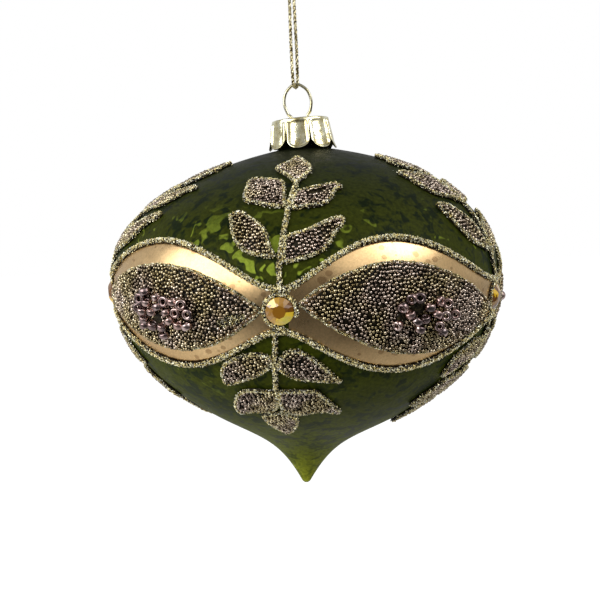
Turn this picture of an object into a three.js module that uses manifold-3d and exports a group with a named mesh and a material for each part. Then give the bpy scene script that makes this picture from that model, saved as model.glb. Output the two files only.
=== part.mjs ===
// A blown-glass teardrop ornament, beaded and lacquered, hanging on a thin metallic cord.
// Millimetres, +Z up along the plumb line. The origin is where a hook holds the cord's loop,
// just under its knot, and the ornament's front, with its first gem, faces -Y.
import * as THREE from "three";
import { mergeVertices } from "three/addons/utils/BufferGeometryUtils.js";
import Module from "manifold-3d";

// Clearances
const seatGap = 0.3; // between a glued-on or clipped-on piece and what carries it
const sideGap = 0.3; // between two decorations that lie side by side

// Glass body: its outer profile runs from the tip over the widest ring to the neck. Heights count from the
// level of the gems, which lies a little under the widest ring.
const bodyRadius = 49.9;
const widestHeight = 3;
const tipDepth = 52.8;
const tipRadius = 1.1;
const flankRadius = 20.3; // where the belly's curve turns hollow towards the tip
const flankDepth = 34.9;
const flankSlope = 28.5; // degrees from level
const tipSlope = 61; // degrees from level
const neckRootHeight = 36.2; // the neck's foot
const shoulderSlope = 10.7; // degrees from level, at the neck's foot
const neckRadius = 5.9;
const neckLength = 7.05;
const neckFillet = 1.1;
const wall = 1.0;
const bellyFullness = 19.7; // lengths of the curves' handles
const flankFullness = 16.2;
const flankHollow = 11.4;
const tipHollow = 10.9;
const crownFullness = 14.8;
const shoulderFullness = 30.3;
const glassSides = 32;
const neckLean = 3; // degrees: the hand-blown neck leans to the left
const leanStart = 8; // the height where that lean begins
const leanEnd = 30; // and where it is complete

// Metal cap
const capTopRadius = 7.5;
const capSkirtRadius = 8.9; // at the petals' ends
const capHeight = 7.5;
const capSheet = 0.4;
const capHeadroom = 0.4; // between the neck's lip and the cap's top plate
const capEdge = 0.8; // rounding of the top plate's edge
const collarDepth = 1.5; // the unslit ring under the top plate
const petalCount = 8;
const petalGap = 0.7; // between neighbouring petals, at the collar
const petalBulge = 0.45; // how far a petal's middle stands out
const capLean = 5.5; // degrees to the left, so 2.5 more than the neck's
const capShift = 0.4; // to the left of the neck's axis at the top plate

// Hanger: one wire bent into a loop with two sprung legs
const wireRadius = 0.38;
const legSpacing = 3.8; // where the legs pass through the top plate
const loopWidth = 7.05; // between the wire's centrelines
const loopHeight = 9.15;
const loopWidest = 4.5; // the height of the loop's widest place
const legLength = 15;
const footSpacing = 6;
const hangerLean = 2; // degrees to the left of the cap's axis
const wireSides = 6;

// Cord: a doubled strand through the loop, knotted above
const cordRadius = 0.44;
const cordDrop = 22.5; // from the knot to the hanger's top
const strandSpacingTop = 1.16;
const strandSpacingLoop = 1.4;
const knotLength = 3.2;
const knotRadius = 1.5;
const knotWraps = 3;
const knotTaper = 0.95; // the height of its cone below, which clears the swinging strands
const knotFoot = 0.3; // the cone's flat end
const tailLength = 5;
const plumbLean = 2.5; // degrees: under its crooked cap the body's axis leans right of the plumb line

// Beaded panels, one between each two gems
const pipingWidth = 1.8;
const pipingHeight = 1.1;
const bandSheet = 0.25; // the gold lacquer's thickness
const bandNeck = 0.6; // its width past the tip of a bead field
const fieldFullness = 0.85;
const beadHeight = 0.85; // the layer of microbeads
const seedRadius = 1.05; // a seed bead's outer radius
const seedHole = 0.42;
const seedLength = 1.3;
const seedCount = 7;
const seedSpread = 2.5; // how far apart the cluster's beads lie, along the panel
const clusterFlatness = 0.62;
const glueSheet = 0.5;
// The panels are drawn by hand, so each differs a little. A line's crest is [how far it swells from the gems'
// level, where along its panel]. The tilt is a bead field's rise for each millimetre along it.
const panels = [
  { upper: [14.7, -6], lower: [14.1, -2.5], fieldTop: [10.1, -6], fieldFoot: [10.4, -1], tilt: -0.055 },
  { upper: [14.9, 3], lower: [14.4, -2], fieldTop: [10.2, 2], fieldFoot: [10.3, -1], tilt: 0.02 },
  { upper: [14.5, -2], lower: [14.0, 1], fieldTop: [9.9, -1], fieldFoot: [10.0, 2], tilt: -0.02 },
  { upper: [14.8, 1], lower: [14.3, 3], fieldTop: [10.1, 0], fieldFoot: [10.2, 3], tilt: 0.03 },
  { upper: [14.3, -1], lower: [13.5, 2.5], fieldTop: [9.3, 2], fieldFoot: [9.8, 3.5], tilt: 0 },
];

// Gems
const gemRadius = 3;
const gemTableRadius = 1.35;
const gemHeight = 1.6;
const gemSides = 8;

// Leaf sprays: outlines and stems, in millimetres on the glass, [across, up] from the gem
const stemWidth = 1.5;
const leafRim = 0.85; // height of a leaf's edge
const leafCrown = 0.95; // height of its middle
const leafSlope = 0.45; // how far its sides slope in
const leafHollow = 0.15; // how far its back is hollowed over the glass's curve
const stemHeight = 0.7;
const stemRise = 0.15; // the stem bridges the leaves' roots a little off the glass
const upperStem = [[0, 5.4], [-0.2, 10.7], [0.6, 19], [1.4, 27.7], [2, 33.2]];
const upperLeaves = [
  [[-0.3, 10.6], [-1.9, 13.8], [-3.3, 17.6], [-7.3, 21.7], [-9.9, 23.3], [-12.6, 22], [-11.8, 17.4],
    [-9.4, 13], [-5, 11]],
  [[0, 10.2], [4.2, 10.3], [8.3, 11.8], [10.9, 14.2], [13.8, 19], [13, 21.2], [8.9, 20.2], [4.3, 17.9],
    [0.6, 16.4]],
  [[0.9, 23.8], [0.4, 27.8], [-0.4, 33.4], [-3, 35], [-8, 36.1], [-9.7, 34.8], [-10.1, 28.6], [-8.3, 25.5],
    [-4, 24.1]],
  [[1.2, 23.3], [5.3, 23.4], [8.9, 24.1], [11.2, 27], [12.9, 29.6], [11.6, 32.2], [7.9, 31.6], [4, 30.2],
    [1.6, 28]],
  [[1.9, 32.4], [3.9, 34.9], [5.4, 38.4], [4.4, 42.9], [2.1, 47.5], [0.6, 48.5], [-0.9, 45.4], [-3.9, 41],
    [-2.9, 38.9], [0, 34.7]],
];
const lowerStem = [[-1.2, -5.8], [-1.5, -11.5], [-1.9, -20.6], [-1.4, -30.2]];
const lowerLeaves = [
  [[-1.5, -10.6], [-3.7, -9.5], [-7.5, -9.6], [-11.6, -11.2], [-14.3, -14], [-14.4, -18.6], [-12.6, -19.6],
    [-9.3, -18.2], [-5.1, -16], [-1.7, -12.9]],
  [[-1.6, -13.2], [1.1, -16], [4.2, -17.2], [8.6, -17.6], [13.4, -17.7], [9.4, -12.8], [6.8, -10.2],
    [4.1, -8.5], [2.2, -8.1], [-0.8, -10.9]],
  [[-1.5, -20.6], [-5.6, -20.1], [-9.8, -20.7], [-12.3, -23.8], [-13.2, -28.8], [-11.9, -31.4],
    [-6.6, -29.9], [-2.4, -28.9]],
  [[-1.8, -20.6], [-1.8, -28], [1.5, -30.2], [8.3, -29.2], [11.8, -30.2], [11.2, -26.4], [9.1, -22.6],
    [7.4, -19.9], [3.4, -19.9]],
  [[-1.4, -28.9], [-6.7, -31], [-5.8, -36], [-3.4, -40.8], [-2.2, -43.2], [-0.2, -41.6], [1.6, -37],
    [2.1, -33], [1.1, -30.8]],
];

const wasm = await Module();
wasm.setup();
const radians = THREE.MathUtils.degToRad;
const { lerp, clamp } = THREE.MathUtils;

// Colours and finishes
function finish(color, roughness, metalness) {
  return new THREE.MeshStandardMaterial({ color, roughness, metalness });
}
const finishes = {
  glass: finish("#2c3a12", 0.35, 0),
  gold: finish("#c8a26a", 0.3, 0.9),
  glitter: finish("#8d8050", 0.5, 0.6),
  beads: finish("#5c4a40", 0.35, 0.8),
  seeds: finish("#6d555a", 0.3, 0.8),
  gem: finish("#b06a08", 0.1, 0.2),
  cap: finish("#d8d4c0", 0.25, 0.95),
  wire: finish("#b9b08c", 0.3, 0.95),
  cord: finish("#a8975a", 0.5, 0.6),
};

// Solids
function solidOf(geometry) {
  const bare = geometry.clone();
  bare.deleteAttribute("normal");
  bare.deleteAttribute("uv");
  const merged = mergeVertices(bare, 1e-4);
  return new wasm.Manifold(new wasm.Mesh({
    numProp: 3,
    vertProperties: merged.attributes.position.array,
    triVerts: new Uint32Array(merged.index.array),
  }));
}

function geometryOf(solid) {
  const made = solid.getMesh();
  const geometry = new THREE.BufferGeometry();
  geometry.setAttribute("position", new THREE.BufferAttribute(made.vertProperties, 3));
  geometry.setIndex(new THREE.BufferAttribute(made.triVerts, 1));
  return geometry;
}

function joined(geometries) {
  return geometryOf(wasm.Manifold.union(geometries.map(solidOf)));
}

function cut(geometry, tools) {
  return geometryOf(tools.map(solidOf).reduce((left, tool) => left.subtract(tool), solidOf(geometry)));
}

// Joins rings of points into a closed skin. A ring runs anticlockwise, seen from the far end of the sweep.
// A broad sweep's ends are drawn to a middle point each, where these are given.
function skin(rings, closedSweep, middles = []) {
  const size = rings[0].length;
  const positions = [...rings.flat(), ...middles].flatMap((point) => point.toArray());
  const index = [];
  const last = closedSweep ? rings.length : rings.length - 1;
  for (let i = 0; i < last; i++) {
    const next = (i + 1) % rings.length;
    for (let j = 0; j < size; j++) {
      const k = (j + 1) % size;
      const [a, b, c, d] = [i * size + j, i * size + k, next * size + k, next * size + j];
      index.push(a, b, c, a, c, d);
    }
  }
  const end = (rings.length - 1) * size;
  if (middles.length) {
    for (let j = 0; j < size; j++) {
      const k = (j + 1) % size;
      index.push(end + size, k, j, end + size + 1, end + j, end + k);
    }
  } else if (!closedSweep) {
    for (let j = 1; j < size - 1; j++) {
      index.push(0, j + 1, j, end, end + j, end + j + 1);
    }
  }
  const geometry = new THREE.BufferGeometry();
  geometry.setAttribute("position", new THREE.Float32BufferAttribute(positions, 3));
  geometry.setIndex(index);
  return geometry;
}

// A tube of round section along a curve
function tube(path, radius, sides, steps) {
  const section = new THREE.Shape();
  section.setFromPoints(Array.from({ length: sides }, (_, i) => {
    const turn = (2 * Math.PI * i) / sides;
    return new THREE.Vector2(radius * Math.cos(turn), radius * Math.sin(turn));
  }));
  return new THREE.ExtrudeGeometry(section, { steps, bevelEnabled: false, extrudePath: path });
}

// A profile of [radius, height] points turned about the Z axis
function turned(profile, sides) {
  const points = profile.map(([radius, height]) => new THREE.Vector2(radius, height));
  return new THREE.LatheGeometry(points, sides).rotateX(Math.PI / 2);
}

// Glass profile
function curve(...points) {
  return new THREE.CubicBezierCurve(...points.map(([radius, height]) => new THREE.Vector2(radius, height)));
}

// The outer profile as curves from the tip to the neck's foot, pulled in by an inset for the inner wall
function profileCurves(inset) {
  const widest = bodyRadius - inset;
  const slope = radians(flankSlope);
  const flank = [flankRadius - inset * Math.sin(slope), -flankDepth + inset * Math.cos(slope)];
  const steep = radians(tipSlope);
  const tip = [tipRadius, -tipDepth + tipRadius / 2 + inset / Math.cos(steep)];
  const level = radians(shoulderSlope);
  const foot = [neckRadius + neckFillet - inset * Math.sin(level), neckRootHeight - inset * Math.cos(level)];
  return [
    curve(
      tip,
      [tip[0] + tipHollow * Math.cos(steep), tip[1] + tipHollow * Math.sin(steep)],
      [flank[0] - flankHollow * Math.cos(slope), flank[1] - flankHollow * Math.sin(slope)],
      flank,
    ),
    curve(
      flank,
      [flank[0] + flankFullness * Math.cos(slope), flank[1] + flankFullness * Math.sin(slope)],
      [widest, widestHeight - bellyFullness],
      [widest, widestHeight],
    ),
    curve(
      [widest, widestHeight],
      [widest, widestHeight + crownFullness],
      [foot[0] + shoulderFullness * Math.cos(level), foot[1] - shoulderFullness * Math.sin(level)],
      foot,
    ),
  ];
}

function profilePoints(inset, stepsPerCurve) {
  return profileCurves(inset).flatMap((part, i) => part.getPoints(stepsPerCurve[i]).slice(i ? 1 : 0));
}

// Stations along the outer profile, by the distance from the gems' level, up being positive
const stations = (() => {
  const points = profilePoints(0, [60, 60, 60]);
  const lengths = [0];
  for (let i = 1; i < points.length; i++) lengths.push(lengths[i - 1] + points[i].distanceTo(points[i - 1]));
  const above = points.findIndex((point) => point.y > 0);
  const [low, high] = [points[above - 1].y, points[above].y];
  const middle = lerp(lengths[above - 1], lengths[above], -low / (high - low));
  return points.map((point, i) => {
    const before = points[Math.max(i - 1, 0)];
    const after = points[Math.min(i + 1, points.length - 1)];
    const along = after.clone().sub(before).normalize();
    return { distance: lengths[i] - middle, radius: point.x, height: point.y, out: along.y, up: -along.x };
  });
})();

// The profile at a distance from the gems' level: its radius, height and outward normal
function profileAt(distance) {
  let i = stations.findIndex((station) => station.distance > distance);
  i = clamp(i < 0 ? stations.length - 1 : i, 1, stations.length - 1);
  const [a, b] = [stations[i - 1], stations[i]];
  const share = (distance - a.distance) / (b.distance - a.distance);
  return {
    radius: lerp(a.radius, b.radius, share),
    height: lerp(a.height, b.height, share),
    out: lerp(a.out, b.out, share),
    up: lerp(a.up, b.up, share),
  };
}

// A point on the glass: across and up from the gem at that turn, in millimetres, and lifted off the surface
function onGlass(turn, across, up, lift) {
  const place = profileAt(up);
  const angle = radians(turn) + across / place.radius;
  const radius = place.radius + lift * place.out;
  return new THREE.Vector3(
    radius * Math.sin(angle),
    -radius * Math.cos(angle),
    place.height + lift * place.up,
  );
}

// A point on a panel, whose lines count their way across along the widest ring
function onPanel(turn, across, up, lift) {
  return onGlass(turn + (180 / Math.PI) * (across / bodyRadius), 0, up, lift);
}

// The lean that the neck took as it was blown: the place and tilt of the body's axis at a height
function axisAt(height) {
  const share = clamp((height - leanStart) / (leanEnd - leanStart), 0, 1);
  const rise = ((leanEnd - leanStart) * share * share) / 2 + Math.max(0, height - leanEnd);
  return { x: -Math.tan(radians(neckLean)) * rise, tilt: radians(neckLean) * share };
}

function leaned(geometry) {
  const places = geometry.getAttribute("position");
  for (let i = 0; i < places.count; i++) {
    const { x, tilt } = axisAt(places.getZ(i));
    const across = places.getX(i);
    places.setX(i, x + across * Math.cos(tilt));
    places.setZ(i, places.getZ(i) + across * Math.sin(tilt));
  }
  return geometry;
}

const neckTop = neckRootHeight + neckLength;
const boreRadius = neckRadius - wall;

function glassBody() {
  const outer = profilePoints(0, [5, 5, 9]).map((point) => point.toArray());
  const inner = profilePoints(wall, [2, 3, 5]).map((point) => point.toArray());
  const innerTip = [0, inner[0][1]];
  const lip = wall / 2;
  return turned([
    [0, -tipDepth],
    ...outer,
    [neckRadius + neckFillet / 4, neckRootHeight + neckFillet / 2],
    [neckRadius, neckRootHeight + neckFillet * 1.5],
    [neckRadius, neckTop - lip],
    [neckRadius - lip, neckTop],
    [boreRadius, neckTop - lip],
    [boreRadius, neckRootHeight],
    ...inner.slice(1).reverse(),
    innerTip,
  ], glassSides);
}

// Piping: a wavy line round the body that passes just outside each gem
const pipingAtGem = gemRadius + sideGap + pipingWidth / 2;
const panelPitch = (2 * Math.PI * bodyRadius) / panels.length;

// How much of its swell a line has at a place along its panel
function swellShare(across, half, crest) {
  const share = across / half;
  return Math.cos((Math.PI / 2) * clamp(share - (crest / half) * (1 - share * share), -1, 1));
}

function waveReach([swell, crest], across) {
  return Math.hypot(pipingAtGem, swell * swellShare(across, panelPitch / 2, crest));
}

function piping(line, side) {
  const steps = 14;
  const half = pipingWidth / 2;
  const rings = panels.flatMap((panel, number) => Array.from({ length: steps }, (_, i) => {
    const share = i / steps;
    const middle = side * waveReach(panel[line], (share - 0.5) * panelPitch);
    const corners = [[-half, seatGap], [half, seatGap], [half * 0.5, seatGap + pipingHeight],
      [-half * 0.5, seatGap + pipingHeight]];
    const turn = (360 * (number + share)) / panels.length;
    return corners.map(([offset, lift]) => onGlass(turn, 0, middle + offset, lift));
  }));
  return skin(rings, true);
}

// Bead field: a lens between two gems
const bandEnd = panelPitch / 2 - gemRadius - sideGap;
const fieldHalf = bandEnd - bandNeck - sideGap;
function fieldReach([swell, crest], across) {
  const blunt = 0.25;
  return blunt + (swell - blunt) * swellShare(across, fieldHalf, crest) ** fieldFullness;
}

// A slab on the glass. edge(u) gives its two sides at a share u of its length, and crown(u, v) its thickness.
// Its cross-sections crowd towards the ends, where most outlines turn.
// A narrow slab spans the glass's slight curve with a flat back.
function slab(turn, lengthwise, crosswise, edge, crown, rest = seatGap, place = onGlass) {
  const rings = Array.from({ length: lengthwise + 1 }, (_, i) => {
    const u = (1 - Math.cos((Math.PI * i) / lengthwise)) / 2;
    const [low, high] = edge(u);
    const row = (v, lift) => place(turn, lerp(low[0], high[0], v), lerp(low[1], high[1], v), lift);
    const shares = Array.from({ length: crosswise + 1 }, (_, j) => j / crosswise);
    const seats = crosswise > 2 ? shares : [0, 1];
    return [
      ...seats.map((v) => row(v, rest)),
      ...shares.toReversed().map((v) => row(v, rest + crown(u, v))),
    ];
  });
  return skin(rings, false);
}

function beadField(turn, { fieldTop, fieldFoot, tilt }) {
  const edge = (u) => {
    const across = fieldHalf * (2 * u - 1);
    const middle = tilt * across;
    const [down, up] = [fieldReach(fieldFoot, across), fieldReach(fieldTop, across)];
    return [[across, middle - down], [across, middle + up]];
  };
  return slab(turn, 10, 4, edge, () => beadHeight, seatGap, onPanel);
}

// Gold lacquer between the piping and the bead field
function goldBand(turn, { upper, lower, fieldTop, fieldFoot, tilt }) {
  const steps = 10;
  const innerEnd = fieldHalf + sideGap;
  const section = (outer, inner) => [
    onPanel(turn, ...inner, seatGap),
    onPanel(turn, ...outer, seatGap),
    onPanel(turn, ...outer, seatGap + bandSheet),
    onPanel(turn, ...inner, seatGap + bandSheet),
  ];
  const half = (side) => Array.from({ length: steps + 1 }, (_, i) => {
    const share = -side * Math.cos((Math.PI * i) / steps);
    const outer = share * bandEnd;
    const inner = share * innerEnd;
    const outerReach = waveReach(side > 0 ? upper : lower, outer) - pipingWidth / 2 - sideGap;
    const innerReach = fieldReach(side > 0 ? fieldTop : fieldFoot, share * fieldHalf) + sideGap;
    return section([outer, side * outerReach], [inner, tilt * inner + side * innerReach]);
  });
  const end = (side) => section([side * bandEnd, 0], [side * innerEnd, tilt * side * innerEnd]);
  return skin([end(-1), ...half(1), end(1), ...half(-1)], true);
}

// A small ring-shaped bead
function seedBead() {
  const end = seedLength / 2;
  const profile = [[seedHole, -end], [seedRadius, -end / 2], [seedRadius, end / 2], [seedHole, end]];
  return turned([...profile, profile[0]], 5);
}

// A cluster of seed beads bedded in a spot of glue on the bead field
function seedCluster(turn) {
  const lift = 2 * seatGap + beadHeight;
  const golden = Math.PI * (3 - Math.sqrt(5));
  const beads = Array.from({ length: seedCount }, (_, i) => {
    const reach = seedSpread * Math.sqrt(i + 0.6);
    const [across, up] = [reach * Math.cos(golden * i), clusterFlatness * reach * Math.sin(golden * i)];
    const middle = onGlass(turn, across, up, lift + glueSheet + seedRadius * 0.7);
    const outward = middle.clone().sub(onGlass(turn, across, up, lift)).normalize();
    const lying = new THREE.Vector3(Math.cos(golden * i), 0, Math.sin(golden * i));
    lying.applyAxisAngle(new THREE.Vector3(0, 0, 1), radians(turn));
    const axis = lying.projectOnPlane(outward).addScaledVector(outward, 0.5 * (i % 3)).normalize();
    const pose = new THREE.Quaternion().setFromUnitVectors(new THREE.Vector3(0, 0, 1), axis);
    return seedBead().applyQuaternion(pose).translate(...middle.toArray());
  });
  const spread = seedSpread * Math.sqrt(seedCount) + seedRadius / 2;
  const edge = (u) => {
    const across = spread * (2 * u - 1);
    const reach = 0.4 + 2 * clusterFlatness * spread * Math.sqrt(u * (1 - u));
    return [[across, -reach], [across, reach]];
  };
  return joined([slab(turn, 6, 3, edge, () => glueSheet, lift), ...beads]);
}

// A flat-backed faceted gem: a round girdle, a ring of kites and a table
function gem(turn) {
  const ring = (radius, height, count, offset) => Array.from({ length: count }, (_, i) => {
    const angle = (2 * Math.PI * (i + offset)) / count;
    return new THREE.Vector3(radius * Math.cos(angle), radius * Math.sin(angle), height);
  });
  const points = [
    ...ring(gemRadius, 0, 2 * gemSides, 0),
    ...ring((gemRadius + gemTableRadius) / 2, gemHeight * 0.72, gemSides, 0.5),
    ...ring(gemTableRadius, gemHeight, gemSides, 0),
  ];
  const [kite, table] = [2 * gemSides, 3 * gemSides];
  const index = [];
  for (let i = 0; i < gemSides; i++) {
    const next = (i + 1) % gemSides;
    const [a, b, c] = [2 * i, 2 * i + 1, (2 * i + 2) % (2 * gemSides)];
    index.push(a, b, kite + i, b, c, kite + i);
    index.push(c, kite + next, kite + i);
    index.push(kite + i, table + next, table + i);
    index.push(kite + i, kite + next, table + next);
  }
  for (let i = 1; i < 2 * gemSides - 1; i++) index.push(0, i + 1, i);
  for (let i = 1; i < gemSides - 1; i++) index.push(table, table + i, table + i + 1);
  const geometry = new THREE.BufferGeometry().setFromPoints(points);
  geometry.setIndex(index);
  const seat = profileAt(0);
  const lift = seatGap + gemRadius ** 2 / (2 * bodyRadius);
  geometry.rotateX(Math.PI / 2 - Math.asin(seat.up));
  geometry.translate(0, -seat.radius - lift * seat.out, lift * seat.up);
  return geometry.rotateZ(radians(turn));
}

// Leaf sprays
function leaf(turn, outline) {
  const middle = [0, 1].map((axis) => outline.reduce((sum, point) => sum + point[axis], 0) / outline.length);
  const ring = (inset, lift) => outline.map(([x, y]) => {
    const share = inset / Math.hypot(x - middle[0], y - middle[1]);
    return onGlass(turn, lerp(x, middle[0], share), lerp(y, middle[1], share), seatGap + lift);
  });
  const middles = [leafHollow, leafCrown].map((lift) => onGlass(turn, ...middle, seatGap + lift));
  return skin([ring(0, 0), ring(leafSlope, leafRim)], false, middles);
}

function stem(turn, points) {
  const line = new THREE.CatmullRomCurve3(points.map(([x, y]) => new THREE.Vector3(x, y, 0)));
  const edge = (u) => {
    const { x, y } = line.getPointAt(u);
    const along = line.getTangentAt(u);
    const half = stemWidth / 2;
    return [[x + along.y * half, y - along.x * half], [x - along.y * half, y + along.x * half]];
  };
  return slab(turn, points.length + 1, 1, edge, () => stemHeight, seatGap + stemRise);
}

function spray(turn, stemPoints, leaves) {
  return joined([stem(turn, stemPoints), ...leaves.map((outline) => leaf(turn, outline))]);
}

// Cap, in its own frame: the top plate's outside is at height 0 and the petals hang below
function petal(turn) {
  const [lengthwise, crosswise] = [4, 3];
  const pitch = (2 * Math.PI * capTopRadius) / petalCount;
  const top = -capEdge;
  const roundEnd = 0.5;
  const rings = Array.from({ length: lengthwise + 1 }, (_, i) => {
    const u = i / lengthwise;
    const rounding = Math.sqrt(1 - clamp((u - roundEnd) / (1 - roundEnd), 0, 0.98) ** 2);
    const radius = lerp(capTopRadius, capSkirtRadius, u) - petalBulge;
    const halfAngle = ((pitch - petalGap) / 2 / capTopRadius) * rounding;
    const height = lerp(top, -capHeight, u);
    const bulge = petalBulge * Math.min(1, 0.4 + u) * rounding;
    const at = (v, inset) => {
      const angle = radians(turn) + lerp(-halfAngle, halfAngle, v);
      const reach = radius + bulge * Math.sin(Math.PI * v) - inset;
      return new THREE.Vector3(reach * Math.sin(angle), -reach * Math.cos(angle), height);
    };
    const shares = Array.from({ length: crosswise + 1 }, (_, j) => j / crosswise);
    return [...shares.toReversed().map((v) => at(v, 0)), ...shares.map((v) => at(v, capSheet))];
  });
  return skin(rings, false);
}

function cap() {
  const collarRadius = capTopRadius - petalBulge;
  const cup = turned([
    [0, 0],
    [collarRadius - capEdge, 0],
    [collarRadius, -capEdge],
    [collarRadius, -collarDepth],
    [collarRadius - capSheet, -collarDepth],
    [collarRadius - capSheet, -capEdge],
    [collarRadius - capEdge - capSheet / 2, -capSheet],
    [0, -capSheet],
  ].reverse(), 3 * petalCount);
  const petals = Array.from({ length: petalCount }, (_, i) => petal((360 * i) / petalCount));
  const holeRadius = wireRadius + seatGap;
  const hole = (side) => new THREE.CylinderGeometry(holeRadius, holeRadius, 4 * capSheet, 10)
    .rotateX(Math.PI / 2)
    .translate((side * legSpacing) / 2, 0, 0);
  return cut(joined([cup, ...petals]), [hole(-1), hole(1)]);
}

// Hanger wire, in the cap's frame
function hangerWire() {
  const half = [
    [footSpacing / 2, -legLength],
    [legSpacing / 2 + 0.5, -legLength / 2],
    [legSpacing / 2, -capSheet / 2],
    [loopWidth / 2 - 0.55, loopWidest * 0.42],
    [loopWidth / 2, loopWidest],
    [loopWidth / 2 - 0.85, loopWidest + (loopHeight - loopWidest) * 0.62],
  ];
  const mirrored = half.toReversed().map(([x, z]) => [-x, z]);
  const points = [...half, [0, loopHeight], ...mirrored].map(([x, z]) => new THREE.Vector3(x, 0, z));
  const path = new THREE.CatmullRomCurve3(points, false, "centripetal");
  return tube(path, wireRadius, wireSides, 38);
}

// Cord: down one strand, under the hanger's wire and up the other
const boltRadius = wireRadius + seatGap + cordRadius;
const cordTop = -seatGap;
const cordRoute = [
  [-strandSpacingTop / 2, 0, cordTop],
  [-strandSpacingTop / 2 - 0.02, -0.1, -4],
  [-strandSpacingTop / 2 - 0.05, -0.35, -9],
  [-strandSpacingTop / 2 - 0.08, -0.65, -14],
  [-strandSpacingLoop / 2, -0.95, -18.5],
  [-strandSpacingLoop / 2, -boltRadius - 0.05, -21.6],
  [-strandSpacingLoop / 2 + 0.12, -boltRadius, -cordDrop - 0.1],
  [-0.42, -0.72, -cordDrop - 0.92],
  [0, 0, -cordDrop - boltRadius - 0.1],
  [0.42, 0.72, -cordDrop - 0.92],
  [strandSpacingLoop / 2 - 0.12, boltRadius, -cordDrop - 0.1],
  [strandSpacingLoop / 2, boltRadius + 0.05, -21.6],
  [strandSpacingLoop / 2, 0.95, -18.5],
  [strandSpacingTop / 2 + 0.08, 0.65, -14],
  [strandSpacingTop / 2 + 0.05, 0.35, -9],
  [strandSpacingTop / 2 + 0.02, 0.1, -4],
  [strandSpacingTop / 2, 0, cordTop],
];

function hangingCord() {
  const points = cordRoute.map((point) => new THREE.Vector3(...point));
  return tube(new THREE.CatmullRomCurve3(points, false, "centripetal"), cordRadius, 8, 38);
}

// The knot: the strands wrapped round themselves, with two short tails
function cordKnot() {
  const wrap = knotLength / knotWraps;
  const groove = knotRadius * 0.72;
  const profile = [[0, 0], [knotFoot, 0], [groove, knotTaper]];
  for (let i = 0; i < knotWraps; i++) {
    profile.push([knotRadius, knotTaper + wrap * (i + 0.5)], [groove, knotTaper + wrap * (i + 1)]);
  }
  const top = knotTaper + knotLength;
  profile.push([0, top]);
  const tail = (side) => tube(new THREE.CatmullRomCurve3([
    new THREE.Vector3(side * 0.55, 0, top - wrap),
    new THREE.Vector3(side * 0.7, 0, top + 0.6),
    new THREE.Vector3(side * 1.5, side * 0.6, top + tailLength * 0.6),
    new THREE.Vector3(side * 2.4, side * 0.4, top + tailLength),
  ]), cordRadius, 8, 5);
  return joined([turned(profile, 10), tail(-1), tail(1)]);
}

// Assembly
function piece(name, geometry, material) {
  const mesh = new THREE.Mesh(geometry, material);
  mesh.name = name;
  return mesh;
}

const ornament = new THREE.Group(); // its own origin is the centre of the ring of gems
ornament.add(piece("glass_body", leaned(glassBody()), finishes.glass));
ornament.add(piece("upper_piping", leaned(piping("upper", 1)), finishes.glitter));
ornament.add(piece("lower_piping", leaned(piping("lower", -1)), finishes.glitter));
panels.forEach((panel, i) => {
  const gemTurn = (360 * i) / panels.length;
  const panelTurn = gemTurn + 180 / panels.length;
  const number = i + 1;
  const upperSpray = spray(gemTurn, upperStem, upperLeaves);
  const lowerSpray = spray(gemTurn, lowerStem, lowerLeaves);
  ornament.add(piece(`gem_${number}`, leaned(gem(gemTurn)), finishes.gem));
  ornament.add(piece(`upper_spray_${number}`, leaned(upperSpray), finishes.beads));
  ornament.add(piece(`lower_spray_${number}`, leaned(lowerSpray), finishes.beads));
  ornament.add(piece(`gold_band_${number}`, leaned(goldBand(panelTurn, panel)), finishes.gold));
  ornament.add(piece(`bead_field_${number}`, leaned(beadField(panelTurn, panel)), finishes.beads));
  ornament.add(piece(`seed_beads_${number}`, leaned(seedCluster(panelTurn)), finishes.seeds));
});

const capTop = neckTop + capHeadroom + capSheet;
const capGroup = new THREE.Group();
capGroup.position.set(axisAt(capTop).x - capShift, 0, capTop);
capGroup.rotation.y = -radians(capLean);
capGroup.add(piece("cap", cap(), finishes.cap));
const hangerGroup = new THREE.Group();
hangerGroup.rotation.y = -radians(hangerLean);
hangerGroup.add(piece("hanger_wire", hangerWire(), finishes.wire));
capGroup.add(hangerGroup);
ornament.add(capGroup);

// The body hangs from the top of the hanger's loop, which lies on the plumb line
ornament.rotation.y = radians(plumbLean);
ornament.updateMatrixWorld(true);
const loopTop = hangerGroup.localToWorld(new THREE.Vector3(0, 0, loopHeight));
ornament.position.set(-loopTop.x, 0, -cordDrop - loopTop.z);

const part = new THREE.Group();
part.add(ornament);
part.add(piece("hanging_cord", hangingCord(), finishes.cord));
part.add(piece("cord_knot", cordKnot(), finishes.cord));

export default part;
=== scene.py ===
"""A blown-glass teardrop ornament with beaded almond panels and leaf sprays, hanging on a metallic cord.

Sizes are written in millimetres and turned into metres where a piece is placed."""

import bisect
import math
import random

import bmesh
import bpy
from mathutils import Matrix, Vector, noise


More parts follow.
